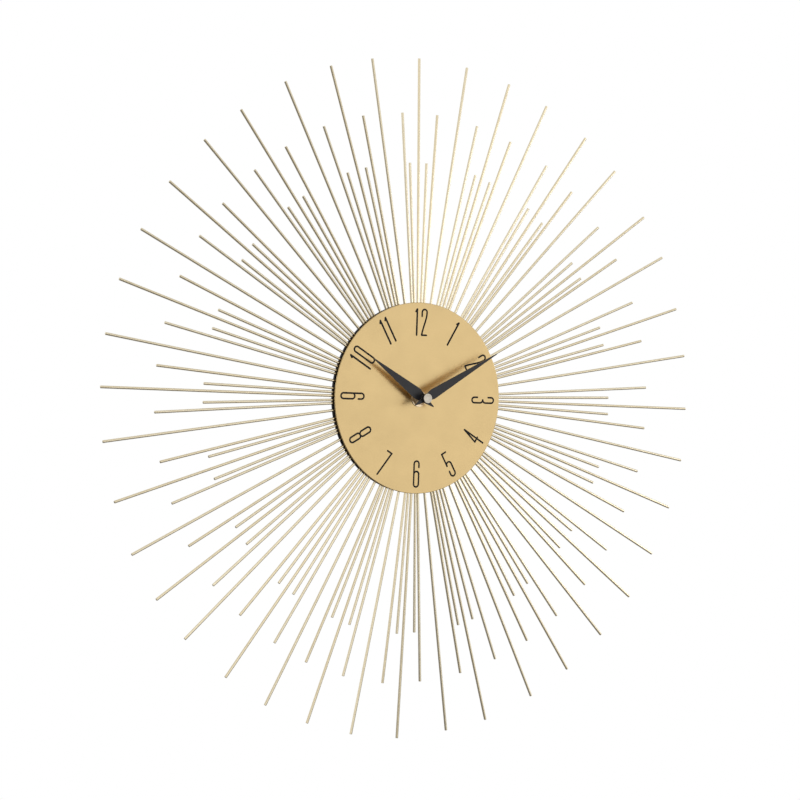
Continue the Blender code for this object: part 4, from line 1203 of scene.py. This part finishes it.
# Each lamp's name, place, width and power in watts
LAMPS = (("key", (-1.3, -2.2, 1.9), 1.6, 5), ("softbox", (1.29, -2.14, -0.35), 1.6, 5.5),
         ("side_strip", (1.0, -0.5, 0.15), 0.35, 1.2))


def build_floor():
    shape = bmesh.new()
    bmesh.ops.create_circle(shape, cap_ends=True, segments=128, radius=FLOOR_RADIUS)
    floor = as_object("floor", shape)
    floor.location = (0, 0, cad_low.z - FLOOR_DROP)
    floor.data.materials.append(PALE_FLOOR)
    floor.visible_glossy = False


def build_world():
    """A studio that mirrors brightest at the horizon and darkest below, and is plain white to the camera."""
    world = bpy.data.worlds.new("studio")
    bpy.context.scene.world = world
    world.use_nodes = True
    tree = world.node_tree
    tree.nodes.clear()
    kinds = ("OutputWorld", "MixShader", "LightPath", "Background", "Background", "TexCoord", "SeparateXYZ",
             "ValToRGB", "MapRange")
    output, mix, path, plain, studio, direction, parts, ramp, shift = (
        tree.nodes.new("ShaderNode" + kind) for kind in kinds)
    shift.inputs["From Min"].default_value = -1
    shift.inputs["From Max"].default_value = 1
    tree.links.new(direction.outputs["Generated"], parts.inputs["Vector"])
    tree.links.new(parts.outputs["Z"], shift.inputs["Value"])
    tree.links.new(shift.outputs["Result"], ramp.inputs["Fac"])
    tree.links.new(ramp.outputs["Color"], studio.inputs["Color"])
    elements = ramp.color_ramp.elements
    while len(elements) < len(STUDIO):
        elements.new(0.5)
    for element, (place, value) in zip(elements, STUDIO):
        element.position = place
        element.color = (value, value, value, 1)
    plain.inputs["Color"].default_value = (1, 1, 1, 1)
    tree.links.new(path.outputs["Is Camera Ray"], mix.inputs["Fac"])
    tree.links.new(studio.outputs["Background"], mix.inputs[1])
    tree.links.new(plain.outputs["Background"], mix.inputs[2])
    tree.links.new(mix.outputs["Shader"], output.inputs["Surface"])


def soft_light(name, place, size, power):
    light = bpy.data.lights.new(name, "AREA")
    light.shape = "DISK"
    light.size = size
    light.energy = power
    lamp = bpy.data.objects.new(name, light)
    bpy.context.scene.collection.objects.link(lamp)
    lamp.location = place
    lamp.rotation_mode = "QUATERNION"
    lamp.rotation_quaternion = (-Vector(place)).to_track_quat("-Z", "Y")
    lamp.visible_camera = False


def build_camera():
    target = Vector((0, -DIAL_FRONT, 0))
    turn = radians(CAMERA_AZIMUTH)
    away = Vector((sin(turn), -cos(turn), 0))
    data = bpy.data.cameras.new("camera")
    data.lens = CAMERA_LENS
    camera = bpy.data.objects.new("camera", data)
    bpy.context.scene.collection.objects.link(camera)
    camera.location = target + CAMERA_DISTANCE * away
    camera.rotation_mode = "QUATERNION"
    camera.rotation_quaternion = ((-away).to_track_quat("-Z", "Y")
                                  @ Quaternion((0, 0, 1), radians(CAMERA_ROLL))
                                  @ Quaternion((0, 1, 0), radians(AIM_LEFT))
                                  @ Quaternion((1, 0, 0), radians(-AIM_DOWN)))
    bpy.context.scene.camera = camera


build_dial()
for hour_number in range(1, 13):
    build_numeral(hour_number)
ray_chance = Random(HAND_MADE_SEED)
weld_chance = Random(WELD_SEED)
for cluster_number in range(1, CLUSTERS + 1):
    build_ray_cluster(cluster_number, ray_chance, weld_chance)
build_back_plate()
for corner_number in range(1, 5):
    build_screw(corner_number)
    build_standoff(corner_number)
build_washer()
build_nut()
build_bushing()
build_gasket()
build_hands()
build_cap()
build_hour_tube()
build_case_front()
build_case_back()
build_knob()
build_hanger()
build_battery()
build_contacts()
finish_inside()
build_floor()
build_world()
for lamp_numbers in LAMPS:
    soft_light(*lamp_numbers)
build_camera()
bpy.context.scene.view_settings.view_transform = "Standard"
